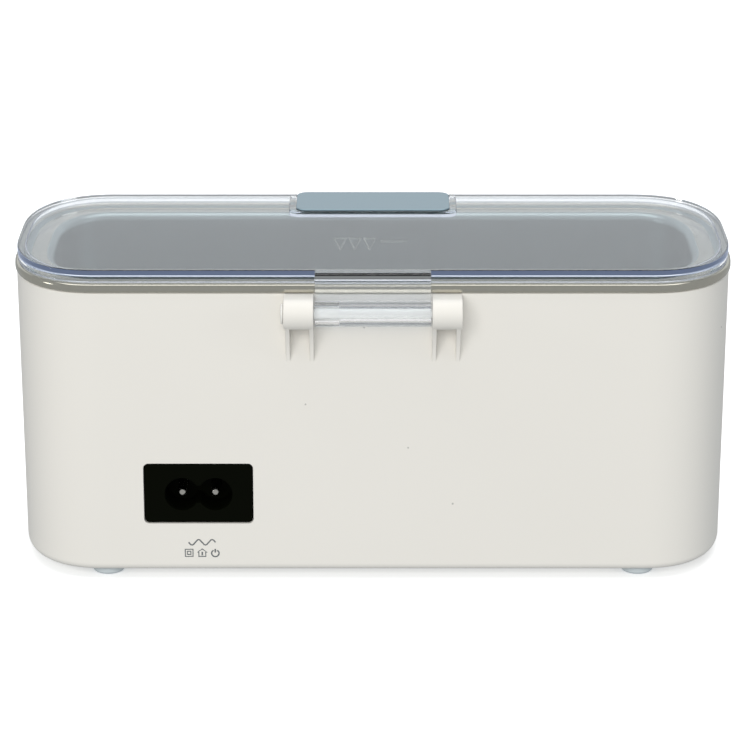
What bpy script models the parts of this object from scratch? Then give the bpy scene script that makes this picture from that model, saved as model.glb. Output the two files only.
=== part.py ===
"""Bench-top ultrasonic cleaner for jewellery: a white moulded tub with a stainless bath, a clear hinged lid
and the driver electronics under the bath.

Lengths below are millimetres, written into the meshes as metres.  +Z is up, the front with the push button
faces -Y, and the back with the lid hinge and the mains inlet faces +Y.  Every outline seen from above is one
rounded rectangle, drawn in from the outside of the housing by an "inset".
"""

import math

import bmesh
import bpy
from mathutils import Matrix, Vector

MM = 0.001

# ---------------------------------------------------------------- driving dimensions
HALF_WIDTH = 93.0  # housing, outside, at its top edge
HALF_DEPTH = 37.0
CORNER_X = 23.0  # the corners are quarter superellipses of these radii
CORNER_Y = 31.5
CORNER_POWER = 2.3
CORNER_STEPS = 7

FOOT_HEIGHT = 2.2
HOUSING_TOP = 77.9
DRAFT = 0.5  # how much the wall leans in from its top to its bottom
WALL = 2.2
FLOOR = 3.6
RIM_TOP = 80.3  # top of the bath's rolled rim
LID_UNDER = 82.1
LID_TOP = 83.9
SKIRT = 2.0  # thickness of the lid's edge
REST_GAP = 0.2  # between the closed lid and the rim

BATH_FLOOR = 33.0
BATH_SHEET = 0.8

HINGE_OUT = 4.6  # hinge axis behind the housing's back wall
HINGE_Z = 73.9
BARREL_RADIUS = 3.3
BARREL_HALF = 14.7
EAR_RADIUS = 4.0
EAR_INNER = 14.95
EAR_OUTER = 22.6
PIN_RADIUS = 1.25
RUNNING_GAP = 0.25

INLET_X = 45.1
INLET_Z = 23.6
INLET_WIDTH = 28.3
INLET_HEIGHT = 16.5
PIN_PITCH = 8.6

BUTTON_Z = 42.0
BUTTON_RADIUS = 7.0
BUTTON_PROUD = 0.8
RING_RADIUS = 9.2
SWITCH_TRAVEL = 0.4

BOARD_UNDER = 9.4  # main board
BOARD_THICK = 1.6
FIT_GAP = 0.25  # between pieces that touch

FRONT_REACH = HALF_DEPTH + BUTTON_PROUD - 0.24
BACK_REACH = HALF_DEPTH + HINGE_OUT + EAR_RADIUS
CENTRE_SHIFT = (FRONT_REACH - BACK_REACH) / 2  # puts the origin under the middle of the whole object


# ---------------------------------------------------------------- scene and materials
def clear_scene():
    for old in list(bpy.data.objects):
        bpy.data.objects.remove(old, do_unlink=True)


def make_material(name, colour, roughness, metallic=0.0, alpha=1.0):
    made = bpy.data.materials.new(name)
    made.use_nodes = True
    shader = made.node_tree.nodes["Principled BSDF"]
    shader.inputs["Base Color"].default_value = (*colour, 1.0)
    shader.inputs["Roughness"].default_value = roughness
    shader.inputs["Metallic"].default_value = metallic
    shader.inputs["Alpha"].default_value = alpha
    made.diffuse_color = (*colour, alpha)
    return made


clear_scene()
WHITE = make_material("white_abs", (0.86, 0.85, 0.82), 0.42)
CLEAR = make_material("clear_polycarbonate", (0.86, 0.9, 0.93), 0.05, alpha=0.35)
STEEL = make_material("stainless_steel", (0.62, 0.62, 0.6), 0.3, 1.0)
CHROME = make_material("satin_chrome", (0.58, 0.66, 0.7), 0.2, 1.0)
BLACK = make_material("black_plastic", (0.02, 0.02, 0.02), 0.45)
NICKEL = make_material("nickel_plate", (0.75, 0.73, 0.7), 0.25, 1.0)
RUBBER = make_material("grey_rubber", (0.62, 0.65, 0.68), 0.8)
SILICONE = make_material("silicone", (0.8, 0.8, 0.78), 0.6)
CERAMIC = make_material("piezo_ceramic", (0.78, 0.74, 0.62), 0.6)
EPOXY = make_material("epoxy", (0.35, 0.28, 0.12), 0.5)
BOARD = make_material("circuit_board", (0.02, 0.2, 0.08), 0.5)
FERRITE = make_material("ferrite", (0.06, 0.06, 0.065), 0.7)
SLEEVE = make_material("can_sleeve", (0.05, 0.06, 0.09), 0.35)
COPPER = make_material("copper_wire", (0.7, 0.32, 0.12), 0.4, 1.0)
ALUMINIUM = make_material("aluminium", (0.7, 0.7, 0.72), 0.4, 1.0)
YELLOW = make_material("yellow_case", (0.85, 0.65, 0.05), 0.5)
RED_LEAD = make_material("red_insulation", (0.6, 0.03, 0.03), 0.5)
BLACK_LEAD = make_material("black_insulation", (0.03, 0.03, 0.03), 0.5)
IVORY = make_material("ivory_nylon", (0.82, 0.78, 0.68), 0.5)
FROSTED = make_material("frosted_acrylic", (0.75, 0.85, 0.9), 0.4)

ASSEMBLY = bpy.data.objects.new("assembly", None)
ASSEMBLY.location = Vector((0, CENTRE_SHIFT, 0)) * MM
bpy.context.scene.collection.objects.link(ASSEMBLY)


def make_joint(name, place):
    """An empty on a joint's axis, which the moving pieces hang from."""
    joint = bpy.data.objects.new(name, None)
    joint.parent = ASSEMBLY
    joint.location = Vector(place) * MM
    bpy.context.scene.collection.objects.link(joint)
    return joint


def finish(name, mesh_data, material, joint=None):
    """Makes the named object from a bmesh drawn in millimetres, under its joint or under the assembly."""
    bmesh.ops.scale(mesh_data, vec=(MM, MM, MM), verts=mesh_data.verts)
    bmesh.ops.recalc_face_normals(mesh_data, faces=mesh_data.faces)
    mesh = bpy.data.meshes.new(name)
    mesh_data.to_mesh(mesh)
    mesh_data.free()
    mesh.materials.append(material)
    mesh.shade_smooth()
    mesh.set_sharp_from_angle(angle=math.radians(35))
    made = bpy.data.objects.new(name, mesh)
    made.parent = joint or ASSEMBLY
    if joint:
        made.location = -joint.location
    bpy.context.scene.collection.objects.link(made)
    return made


def combine(target, tool, operation):
    """Joins or cuts target with a hidden tool object."""
    tool.hide_render = True
    tool.display_type = "WIRE"
    step = target.modifiers.new(tool.name, "BOOLEAN")
    step.object = tool
    step.operation = operation
    step.solver = "EXACT"


# ---------------------------------------------------------------- shapes
def outline_points(inset):
    """The common outline, drawn in by inset, anticlockwise from +X."""
    points = []
    flat_x = HALF_WIDTH - CORNER_X
    flat_y = HALF_DEPTH - CORNER_Y
    radius_x = CORNER_X - inset
    radius_y = CORNER_Y - inset
    for quarter in range(4):
        for step in range(CORNER_STEPS + 1):
            angle = math.radians(90 * (quarter + step / CORNER_STEPS))
            cosine, sine = math.cos(angle), math.sin(angle)
            side_x = 1 if quarter in (0, 3) else -1
            side_y = 1 if quarter in (0, 1) else -1
            reach_x = abs(cosine) ** (2 / CORNER_POWER) * radius_x
            reach_y = abs(sine) ** (2 / CORNER_POWER) * radius_y
            points.append((side_x * (flat_x + reach_x), side_y * (flat_y + reach_y)))
    return points


def skin(stations, closed=False):
    """A surface through the common outline at each (inset, z), its ends capped, or joined if closed."""
    mesh_data = bmesh.new()
    order = mesh_data.verts.layers.int.new("order")
    first = []
    for index, (x, y) in enumerate(outline_points(stations[0][0])):
        vertex = mesh_data.verts.new((x, y, stations[0][1]))
        vertex[order] = index
        first.append(vertex)
    edges = [mesh_data.edges.new((a, b)) for a, b in zip(first, first[1:] + first[:1])]
    start = edges
    for inset, z in stations[1:]:
        points = outline_points(inset)
        grown = bmesh.ops.extrude_edge_only(mesh_data, edges=edges)["geom"]
        edges = [g for g in grown if isinstance(g, bmesh.types.BMEdge)]
        for vertex in (g for g in grown if isinstance(g, bmesh.types.BMVert)):
            vertex.co = (*points[vertex[order]], z)
    if closed:
        bmesh.ops.bridge_loops(mesh_data, edges=start + edges)
    else:
        bmesh.ops.contextual_create(mesh_data, geom=start)
        bmesh.ops.contextual_create(mesh_data, geom=edges)
    return mesh_data


def turned(profile, segments, place=(0, 0, 0), axis="Z", closed=False):
    """A profile of (radius, height) spun about its axis, which passes through place."""
    mesh_data = bmesh.new()
    line = [mesh_data.verts.new((radius, 0, height)) for radius, height in profile]
    pairs = list(zip(line, line[1:]))
    if closed:
        pairs.append((line[-1], line[0]))
    edges = [mesh_data.edges.new(pair) for pair in pairs]
    bmesh.ops.spin(
        mesh_data,
        geom=line + edges,
        cent=(0, 0, 0),
        axis=(0, 0, 1),
        angle=2 * math.pi,
        steps=segments,
        use_merge=True,
    )
    bmesh.ops.remove_doubles(mesh_data, verts=mesh_data.verts, dist=1e-4)
    turn = {
        "Z": Matrix.Identity(4),
        "X": Matrix.Rotation(math.pi / 2, 4, "Y"),
        "Y": Matrix.Rotation(-math.pi / 2, 4, "X"),
        "-Y": Matrix.Rotation(math.pi / 2, 4, "X"),
    }[axis]
    mesh_data.transform(Matrix.Translation(Vector(place)) @ turn)
    return mesh_data


def rod(radius, start, end, segments=16, place=(0, 0, 0), axis="Z"):
    return turned([(0, start), (radius, start), (radius, end), (0, end)], segments, place, axis)


def block(low, high, bevel=0.0):
    """A box from its low corner to its high corner, with its upright edges rounded by bevel."""
    low, high = Vector(low), Vector(high)
    mesh_data = bmesh.new()
    place = Matrix.Translation((low + high) / 2) @ Matrix.Diagonal((*(high - low), 1))
    bmesh.ops.create_cube(mesh_data, size=1, matrix=place)
    if bevel:
        upright = [e for e in mesh_data.edges if abs((e.verts[0].co - e.verts[1].co).z) > 1e-3]
        bmesh.ops.bevel(
            mesh_data, geom=upright, offset=bevel, segments=3, profile=0.5, affect="EDGES", material=-1
        )
    return mesh_data


def plate(half_x, half_z, corner, y_low, y_high, place):
    """A rounded rectangle that stands in the XZ plane and runs from y_low to y_high."""
    mesh_data = block((-half_x, -half_z, y_low), (half_x, half_z, y_high), corner)
    upright = Matrix(((1, 0, 0, 0), (0, 0, 1, 0), (0, 1, 0, 0), (0, 0, 0, 1)))
    mesh_data.transform(Matrix.Translation(Vector(place)) @ upright)
    return mesh_data


def prism(points, x_low, x_high):
    """A closed outline of (y, z) points run from x_low to x_high."""
    mesh_data = bmesh.new()
    face = mesh_data.faces.new([mesh_data.verts.new((x_low, y, z)) for y, z in points])
    grown = bmesh.ops.extrude_face_region(mesh_data, geom=[face])["geom"]
    moved = [g for g in grown if isinstance(g, bmesh.types.BMVert)]
    bmesh.ops.translate(mesh_data, verts=moved, vec=(x_high - x_low, 0, 0))
    return mesh_data


def arc(centre, radius, start, end, steps):
    """Points of (y, z) along an arc, angles in degrees from +Y towards +Z."""
    turns = [math.radians(start + (end - start) * k / steps) for k in range(steps + 1)]
    return [(centre[0] + radius * math.cos(t), centre[1] + radius * math.sin(t)) for t in turns]


def smooth_route(points, steps):
    """A Catmull-Rom curve through hand-placed points."""
    points = [Vector(p) for p in points]
    ends = [2 * points[0] - points[1]] + points + [2 * points[-1] - points[-2]]
    route = []
    for a, b, c, d in zip(ends, ends[1:], ends[2:], ends[3:]):
        for k in range(steps):
            t = k / steps
            bend = (2 * a - 5 * b + 4 * c - d) * t * t + (3 * b - a - 3 * c + d) * t**3
            route.append((2 * b + (c - a) * t + bend) / 2)
    return route + [points[-1]]


def wire(name, points, radius, material):
    """A round insulated wire through hand-placed points."""
    curve = bpy.data.curves.new(name, "CURVE")
    curve.dimensions = "3D"
    curve.bevel_depth = radius * MM
    curve.bevel_resolution = 2
    curve.use_fill_caps = True
    route = smooth_route(points, 4)
    spline = curve.splines.new("POLY")
    spline.points.add(len(route) - 1)
    for point, place in zip(spline.points, route):
        point.co = (*(place * MM), 1)
    curve.materials.append(material)
    made = bpy.data.objects.new(name, curve)
    made.parent = ASSEMBLY
    bpy.context.scene.collection.objects.link(made)
    return made


def wall_inset(z):
    """How far the leaning outer wall stands in at height z."""
    return DRAFT * (HOUSING_TOP - z) / (HOUSING_TOP - FOOT_HEIGHT)


# ---------------------------------------------------------------- housing
FLOOR_TOP = FOOT_HEIGHT + FLOOR
COVER_HALF_X = 68.0
COVER_HALF_Y = 24.5
COVER_LEDGE = 3.0
COVER_DEPTH = 2.1
SCREW_X = 64.2
SCREW_Y = 19.8
BUTTON_BOARD_IN = 6.0  # from the front wall's outside to the button board
BUTTON_BOSS_X = 15.0


def cover_screw_places():
    return [(x, y) for x in (-SCREW_X, SCREW_X) for y in (-SCREW_Y, SCREW_Y)]


def housing_shell():
    """A deep tub: rounded bottom edge, leaning wall, and a ledge round the top that carries the bath."""
    ledge_in = 5.5
    ledge_thick = 2.0
    edge = 2.0
    return skin(
        [
            (DRAFT + edge, FOOT_HEIGHT),
            (DRAFT + edge * 0.3, FOOT_HEIGHT + edge * 0.3),
            (DRAFT, FOOT_HEIGHT + edge),
            (0.0, HOUSING_TOP - 0.5),
            (0.5, HOUSING_TOP),
            (ledge_in, HOUSING_TOP),
            (ledge_in, HOUSING_TOP - ledge_thick),
            (WALL, HOUSING_TOP - ledge_thick - 2.5),
            (WALL + DRAFT, FLOOR_TOP + 1.5),
            (WALL + DRAFT + 1.5, FLOOR_TOP),
        ]
    )


def hinge_ear(side):
    """One hinge ear with two gusset ribs under it, run into the back wall."""
    back = HALF_DEPTH
    root = back - 1.2
    low, high = sorted((side * EAR_INNER, side * EAR_OUTER))
    round_end = arc((back + HINGE_OUT, HINGE_Z), EAR_RADIUS, 90, -90, 10)
    ear_top = HINGE_Z + EAR_RADIUS
    block_points = [(root, ear_top)] + round_end + [(root, HINGE_Z - EAR_RADIUS)]
    ear = finish(f"tool_ear_{side}", prism(block_points, low, high), WHITE)
    rib_thick = 1.1
    for inner in (EAR_INNER, EAR_OUTER - 1.5):
        rib_low, rib_high = sorted((side * inner, side * (inner + rib_thick)))
        rib_points = [(root, HINGE_Z - 1), (back + 7.4, HINGE_Z - 2.4), (back, 59.9), (root, 59.9)]
        rib = finish(f"tool_rib_{side}_{inner:.0f}", prism(rib_points, rib_low, rib_high), WHITE)
        combine(ear, rib, "UNION")
    return ear


def make_housing():
    housing = finish("housing", housing_shell(), WHITE)
    for side in (-1, 1):
        combine(housing, hinge_ear(side), "UNION")
    for index, (x, y) in enumerate(cover_screw_places()):
        boss = rod(3.4, FLOOR_TOP - 1.0, FLOOR_TOP + 5.0, 12, (x, y, 0))
        combine(housing, finish(f"tool_boss_{index}", boss, WHITE), "UNION")
    front = -HALF_DEPTH + wall_inset(BUTTON_Z)
    for side in (-1, 1):
        boss = rod(2.6, WALL - 1.0, BUTTON_BOARD_IN - 0.1, 12, (side * BUTTON_BOSS_X, front, BUTTON_Z), "Y")
        combine(housing, finish(f"tool_button_boss_{side}", boss, WHITE), "UNION")
        pilot = rod(0.9, WALL + 0.6, BUTTON_BOARD_IN + 1, 10, (side * BUTTON_BOSS_X, front, BUTTON_Z), "Y")
        combine(housing, finish(f"tool_button_pilot_{side}", pilot, WHITE), "DIFFERENCE")
    opening = block(
        (-COVER_HALF_X + COVER_LEDGE, -COVER_HALF_Y + COVER_LEDGE, FOOT_HEIGHT - 1),
        (COVER_HALF_X - COVER_LEDGE, COVER_HALF_Y - COVER_LEDGE, FLOOR_TOP + 1),
        3.0,
    )
    for index, (x, y) in enumerate(cover_screw_places()):
        corner = rod(4.6, FOOT_HEIGHT - 2, FLOOR_TOP + 2, 12, (x, y, 0))
        keep = finish(f"tool_corner_{index}", corner, WHITE)
        keep.hide_render = True
    opening_tool = finish("tool_opening", opening, WHITE)
    for index in range(4):
        combine(opening_tool, bpy.data.objects[f"tool_corner_{index}"], "DIFFERENCE")
    combine(housing, opening_tool, "DIFFERENCE")
    rabbet = block(
        (-COVER_HALF_X, -COVER_HALF_Y, FOOT_HEIGHT - 1),
        (COVER_HALF_X, COVER_HALF_Y, FOOT_HEIGHT + COVER_DEPTH),
        5.0,
    )
    combine(housing, finish("tool_rabbet", rabbet, WHITE), "DIFFERENCE")
    for index, (x, y) in enumerate(cover_screw_places()):
        pilot = rod(1.5, FOOT_HEIGHT, FLOOR_TOP + 4.0, 10, (x, y, 0))
        combine(housing, finish(f"tool_pilot_{index}", pilot, WHITE), "DIFFERENCE")
    for index, (x, y) in enumerate(foot_places()):
        recess = rod(FOOT_RADIUS + FIT_GAP, FOOT_HEIGHT - 1, FOOT_HEIGHT + FOOT_RECESS, 16, (x, y, 0))
        combine(housing, finish(f"tool_foot_{index}", recess, WHITE), "DIFFERENCE")
    window = plate(
        INLET_WIDTH / 2, INLET_HEIGHT / 2, 1.3, HALF_DEPTH - 6, HALF_DEPTH + 2, (INLET_X, 0, INLET_Z)
    )
    combine(housing, finish("tool_window", window, WHITE), "DIFFERENCE")
    hole = rod(RING_RADIUS - 1.0, -1.5, WALL + 1.5, 24, (0, front, BUTTON_Z), "Y")
    combine(housing, finish("tool_button_hole", hole, WHITE), "DIFFERENCE")
    seat = rod(RING_RADIUS + FIT_GAP, -1.5, 1.2, 24, (0, front, BUTTON_Z), "Y")
    combine(housing, finish("tool_ring_seat", seat, WHITE), "DIFFERENCE")
    pin_hole = rod(
        PIN_RADIUS + RUNNING_GAP, -30, 30, 14, (0, HALF_DEPTH + HINGE_OUT, HINGE_Z), "X"
    )
    combine(housing, finish("tool_pin_hole", pin_hole, WHITE), "DIFFERENCE")


# ---------------------------------------------------------------- feet, base cover and its screws
FOOT_RADIUS = 4.3
FOOT_X = 69.3
FOOT_Y = 29.7
FOOT_RECESS = 0.6


def foot_places():
    return [(x, y) for x in (-FOOT_X, FOOT_X) for y in (-FOOT_Y, FOOT_Y)]


def make_feet():
    for index, (x, y) in enumerate(foot_places(), 1):
        top = FOOT_HEIGHT + FOOT_RECESS - 0.1
        profile = [(0, 0), (FOOT_RADIUS - 0.9, 0), (FOOT_RADIUS - 0.3, 0.3), (FOOT_RADIUS, 0.9)]
        profile += [(FOOT_RADIUS, top), (0, top)]
        finish(f"foot_{index}", turned(profile, 18, (x, y, 0)), RUBBER)


VENT_COUNT = 7
VENT_PITCH = 7.0
VENT_HALF_LENGTH = 9.0
STANDOFF_X = 52.0
STANDOFF_Y = 15.5


def standoff_places():
    return [(x, y) for x in (-STANDOFF_X, STANDOFF_X) for y in (-STANDOFF_Y, STANDOFF_Y)]


def make_base_cover():
    low = FOOT_HEIGHT + 0.1
    high = FOOT_HEIGHT + COVER_DEPTH - 0.1
    half_x = COVER_HALF_X - FIT_GAP
    half_y = COVER_HALF_Y - FIT_GAP
    cover = finish("base_cover", block((-half_x, -half_y, low), (half_x, half_y, high), 4.8), WHITE)
    for index, (x, y) in enumerate(standoff_places()):
        post = rod(2.8, high - 0.6, BOARD_UNDER - 0.1, 12, (x, y, 0))
        combine(cover, finish(f"tool_post_{index}", post, WHITE), "UNION")
        pilot = rod(1.2, high + 0.8, BOARD_UNDER + 1, 10, (x, y, 0))
        combine(cover, finish(f"tool_post_pilot_{index}", pilot, WHITE), "DIFFERENCE")
    for index, (x, y) in enumerate(cover_screw_places()):
        step = low + 1.3
        sunk = [(0, low - 1), (3.2, low - 1), (3.2, step), (1.7, step), (1.7, high + 1), (0, high + 1)]
        hole = turned(sunk, 14, (x, y, 0))
        combine(cover, finish(f"tool_cover_hole_{index}", hole, WHITE), "DIFFERENCE")
    for index in range(VENT_COUNT):
        x = (index - (VENT_COUNT - 1) / 2) * VENT_PITCH
        slot = block((x - 1.0, -VENT_HALF_LENGTH, low - 1), (x + 1.0, VENT_HALF_LENGTH, high + 1), 0.9)
        combine(cover, finish(f"tool_vent_{index}", slot, WHITE), "DIFFERENCE")


def screw(head_radius, head_height, shank_radius, length, place, axis="Z"):
    """A plain pan-head screw.  The underside of its head is at place and its shank runs along axis."""
    profile = [(0, -head_height), (head_radius * 0.7, -head_height), (head_radius, -head_height * 0.45)]
    profile += [(head_radius, 0), (shank_radius, 0), (shank_radius, length - 1), (0.4, length), (0, length)]
    return turned(profile, 12, place, axis)


def make_cover_screws():
    for index, (x, y) in enumerate(cover_screw_places(), 1):
        under_head = FOOT_HEIGHT + 1.25
        finish(f"cover_screw_{index}", screw(2.8, 1.1, 1.3, 5.6, (x, y, under_head)), NICKEL)


# ---------------------------------------------------------------- bath, seal and transducer
def make_tank():
    """A deep-drawn bath whose flange is rolled over at the edge into the bright rim."""
    inside = [
        (17.2, BATH_FLOOR),
        (14.2, BATH_FLOOR + 0.8),
        (12.0, BATH_FLOOR + 3.0),
        (11.2, BATH_FLOOR + 6.0),
        (9.9, RIM_TOP - 2.8),
        (9.3, RIM_TOP - 1.3),
        (8.0, RIM_TOP - 0.8),
    ]
    rolled = [
        (2.4, RIM_TOP - 0.8),
        (1.7, RIM_TOP - 0.15),
        (1.0, RIM_TOP),
        (0.1, RIM_TOP - 0.3),
        (-0.4, RIM_TOP - 1.0),
        (-0.4, RIM_TOP - 1.8),
        (-0.1, RIM_TOP - 2.15),
        (0.4, RIM_TOP - 2.15),
        (0.4, RIM_TOP - 1.0),
        (1.0, RIM_TOP - BATH_SHEET),
        (2.4, RIM_TOP - 0.8 - BATH_SHEET),
    ]
    outside = [
        (8.2, RIM_TOP - 0.8 - BATH_SHEET),
        (8.9, RIM_TOP - 2.8),
        (11.2 - BATH_SHEET, BATH_FLOOR + 6.0),
        (11.0, BATH_FLOOR + 2.4),
        (13.6, BATH_FLOOR),
        (17.2, BATH_FLOOR - BATH_SHEET),
    ]
    finish("tank", skin(inside + rolled + outside), STEEL)


def make_tank_seal():
    low = HOUSING_TOP + 0.12
    high = RIM_TOP - 0.8 - BATH_SHEET - 0.12
    finish("tank_seal", skin([(2.6, low), (2.6, high), (5.2, high), (5.2, low)], closed=True), SILICONE)


DISC_RADIUS = 19.0
BOND_THICK = 0.4
DISC_THICK = 2.6


def make_transducer():
    top = BATH_FLOOR - BATH_SHEET - 0.1
    finish("transducer_bond", rod(DISC_RADIUS - 0.5, top - BOND_THICK, top, 24), EPOXY)
    disc_top = top - BOND_THICK - 0.1
    finish("transducer_disc", rod(DISC_RADIUS, disc_top - DISC_THICK, disc_top, 28), CERAMIC)
    return disc_top - DISC_THICK


# ---------------------------------------------------------------- main board and what is on it
BOARD_TOP = BOARD_UNDER + BOARD_THICK
SEATED = BOARD_TOP + 0.1


def make_main_board():
    board = finish("main_board", block((-60, -20, BOARD_UNDER), (60, 20, BOARD_TOP), 2.0), BOARD)
    for index, (x, y) in enumerate(standoff_places(), 1):
        hole = rod(1.4, BOARD_UNDER - 1, BOARD_TOP + 1, 12, (x, y, 0))
        combine(board, finish(f"tool_board_hole_{index}", hole, BOARD), "DIFFERENCE")
        upside_down = screw(2.2, 1.2, 1.0, 5.0, (0, 0, 0))
        upside_down.transform(Matrix.Translation((x, y, BOARD_TOP + 0.1)) @ Matrix.Rotation(math.pi, 4, "X"))
        finish(f"board_screw_{index}", upside_down, NICKEL)


def make_mains_parts():
    finish("mains_connector", block((45.5, 1, SEATED), (54.5, 7, 18.0), 0.4), IVORY)
    finish("fuse", rod(2.6, -9, 9, 14, (34, 13.5, SEATED + 2.7), "X"), IVORY)
    finish("filter_capacitor", block((26, -3.5, SEATED), (44, 5, 25), 0.8), YELLOW)
    for index, x in enumerate((33, 45), 1):
        profile = [(0, 0), (4.6, 0), (5, 0.5), (5, 15.3), (4.6, 15.8), (0, 15.8)]
        place = (x, -11, SEATED)
        finish(f"smoothing_capacitor_{index}", turned(profile, 16, place), SLEEVE)
    finish("bridge_rectifier", block((19.5, -14, SEATED), (22.9, -5, 16.5), 0.4), BLACK)
    profile = [(4.6, 0), (9.2, 0), (9.8, 1.5), (9.8, 6.5), (9.2, 8), (4.6, 8)]
    choke = turned(profile, 18, (12, 8, SEATED), closed=True)
    finish("filter_choke", choke, COPPER)


def make_transformer():
    """Two E-shaped ferrite halves seen as one frame, with the wound bobbin round the middle leg."""
    centre_x = 4.0
    centre_y = -10.5
    low = SEATED + 1.5
    high = low + 13.0
    frame = block((centre_x - 11, centre_y - 3, low), (centre_x + 11, centre_y + 3, high))
    core = finish("transformer_core", frame, FERRITE)
    for side in (-1, 1):
        near, far = sorted((centre_x + side * 3.2, centre_x + side * 8.4))
        window = block((near, centre_y - 5, low + 2.6), (far, centre_y + 5, high - 2.6))
        combine(core, finish(f"tool_core_window_{side}", window, FERRITE), "DIFFERENCE")
    bobbin = block((centre_x - 8, centre_y - 7.6, low + 3), (centre_x + 8, centre_y + 7.6, high - 3), 1.5)
    winding = finish("transformer_winding", bobbin, COPPER)
    leg = block((centre_x - 3.6, centre_y - 3.5, low), (centre_x + 3.6, centre_y + 3.5, high))
    combine(winding, finish("tool_leg_hole", leg, COPPER), "DIFFERENCE")


def make_power_stage():
    fin_count = 6
    sink = finish("heat_sink", block((-47, -9, SEATED), (-17, -6.5, 26)), ALUMINIUM)
    for index in range(fin_count):
        x = -46.6 + index * 5.6
        fin = block((x, -16.5, SEATED), (x + 1.2, -8, 26))
        combine(sink, finish(f"tool_fin_{index}", fin, ALUMINIUM), "UNION")
    for index, x in enumerate((-39, -25), 1):
        body = finish(f"power_transistor_{index}", block((x - 5, -5.1, 15), (x + 5, -1.4, 24)), BLACK)
        tab = block((x - 4.9, -6.3, 16), (x + 4.9, -4.9, 25.5))
        combine(body, finish(f"tool_tab_{index}", tab, BLACK), "UNION")
        for leg_index, shift in enumerate((-2.54, 0, 2.54)):
            leg = block((x + shift - 0.5, -3.6, SEATED), (x + shift + 0.5, -2.9, 15.4))
            combine(body, finish(f"tool_lead_{index}_{leg_index}", leg, BLACK), "UNION")
    finish("transducer_connector", block((-54.5, 1, SEATED), (-45.5, 7, 18.0), 0.4), IVORY)
    finish("button_connector", block((-15.4, -18.5, SEATED), (-8.4, -13.5, 16.6), 0.4), IVORY)


# ---------------------------------------------------------------- mains inlet
SOCKET_DEPTH = 9.0
LOBE_RADIUS = 4.4
WAIST_HALF = 2.3
INLET_FACE_IN = 0.45  # face behind the wall's outside


def make_inlet():
    """A two-pin figure-of-eight appliance inlet, held from inside by its wider shoulder."""
    outside = HALF_DEPTH - wall_inset(INLET_Z)
    face = outside - INLET_FACE_IN
    middle = (INLET_X, 0, INLET_Z)
    front = plate(
        INLET_WIDTH / 2 - FIT_GAP, INLET_HEIGHT / 2 - FIT_GAP, 1.1, outside - WALL - 0.6, face, middle
    )
    inlet = finish("inlet_body", front, BLACK)
    shoulder = plate(15.6, 8.2, 1.0, outside - WALL - 2.0, outside - WALL - 0.35, middle)
    combine(inlet, finish("tool_shoulder", shoulder, BLACK), "UNION")
    rear = plate(11.0, 6.6, 2.0, face - SOCKET_DEPTH - 3.0, outside - WALL - 1.0, middle)
    combine(inlet, finish("tool_inlet_rear", rear, BLACK), "UNION")
    lobes = [(INLET_X + side * PIN_PITCH / 2, 0, INLET_Z - 0.3) for side in (-1, 1)]
    for index, place in enumerate(lobes):
        lobe = rod(LOBE_RADIUS, face - SOCKET_DEPTH, face + 2, 20, place, "Y")
        combine(inlet, finish(f"tool_lobe_{index}", lobe, BLACK), "DIFFERENCE")
    waist = plate(
        PIN_PITCH / 2, WAIST_HALF, 0, face - SOCKET_DEPTH, face + 2, (INLET_X, 0, INLET_Z - 0.3)
    )
    combine(inlet, finish("tool_waist", waist, BLACK), "DIFFERENCE")
    for index, place in enumerate(lobes, 1):
        bore = rod(1.4, face - SOCKET_DEPTH - 5, face - 4, 14, place, "Y")
        combine(inlet, finish(f"tool_pin_bore_{index}", bore, BLACK), "DIFFERENCE")
        tip = face - 1.2
        tail = face - SOCKET_DEPTH - 6.5
        profile = [(0, tail), (1.0, tail), (1.18, tail + 0.2), (1.18, tip - 1.0), (0.85, tip - 0.3)]
        profile += [(0.45, tip), (0, tip)]
        finish(f"inlet_pin_{index}", turned(profile, 14, place, "Y"), NICKEL)
    return [(place[0], tail, place[2]) for place in lobes]


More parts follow.
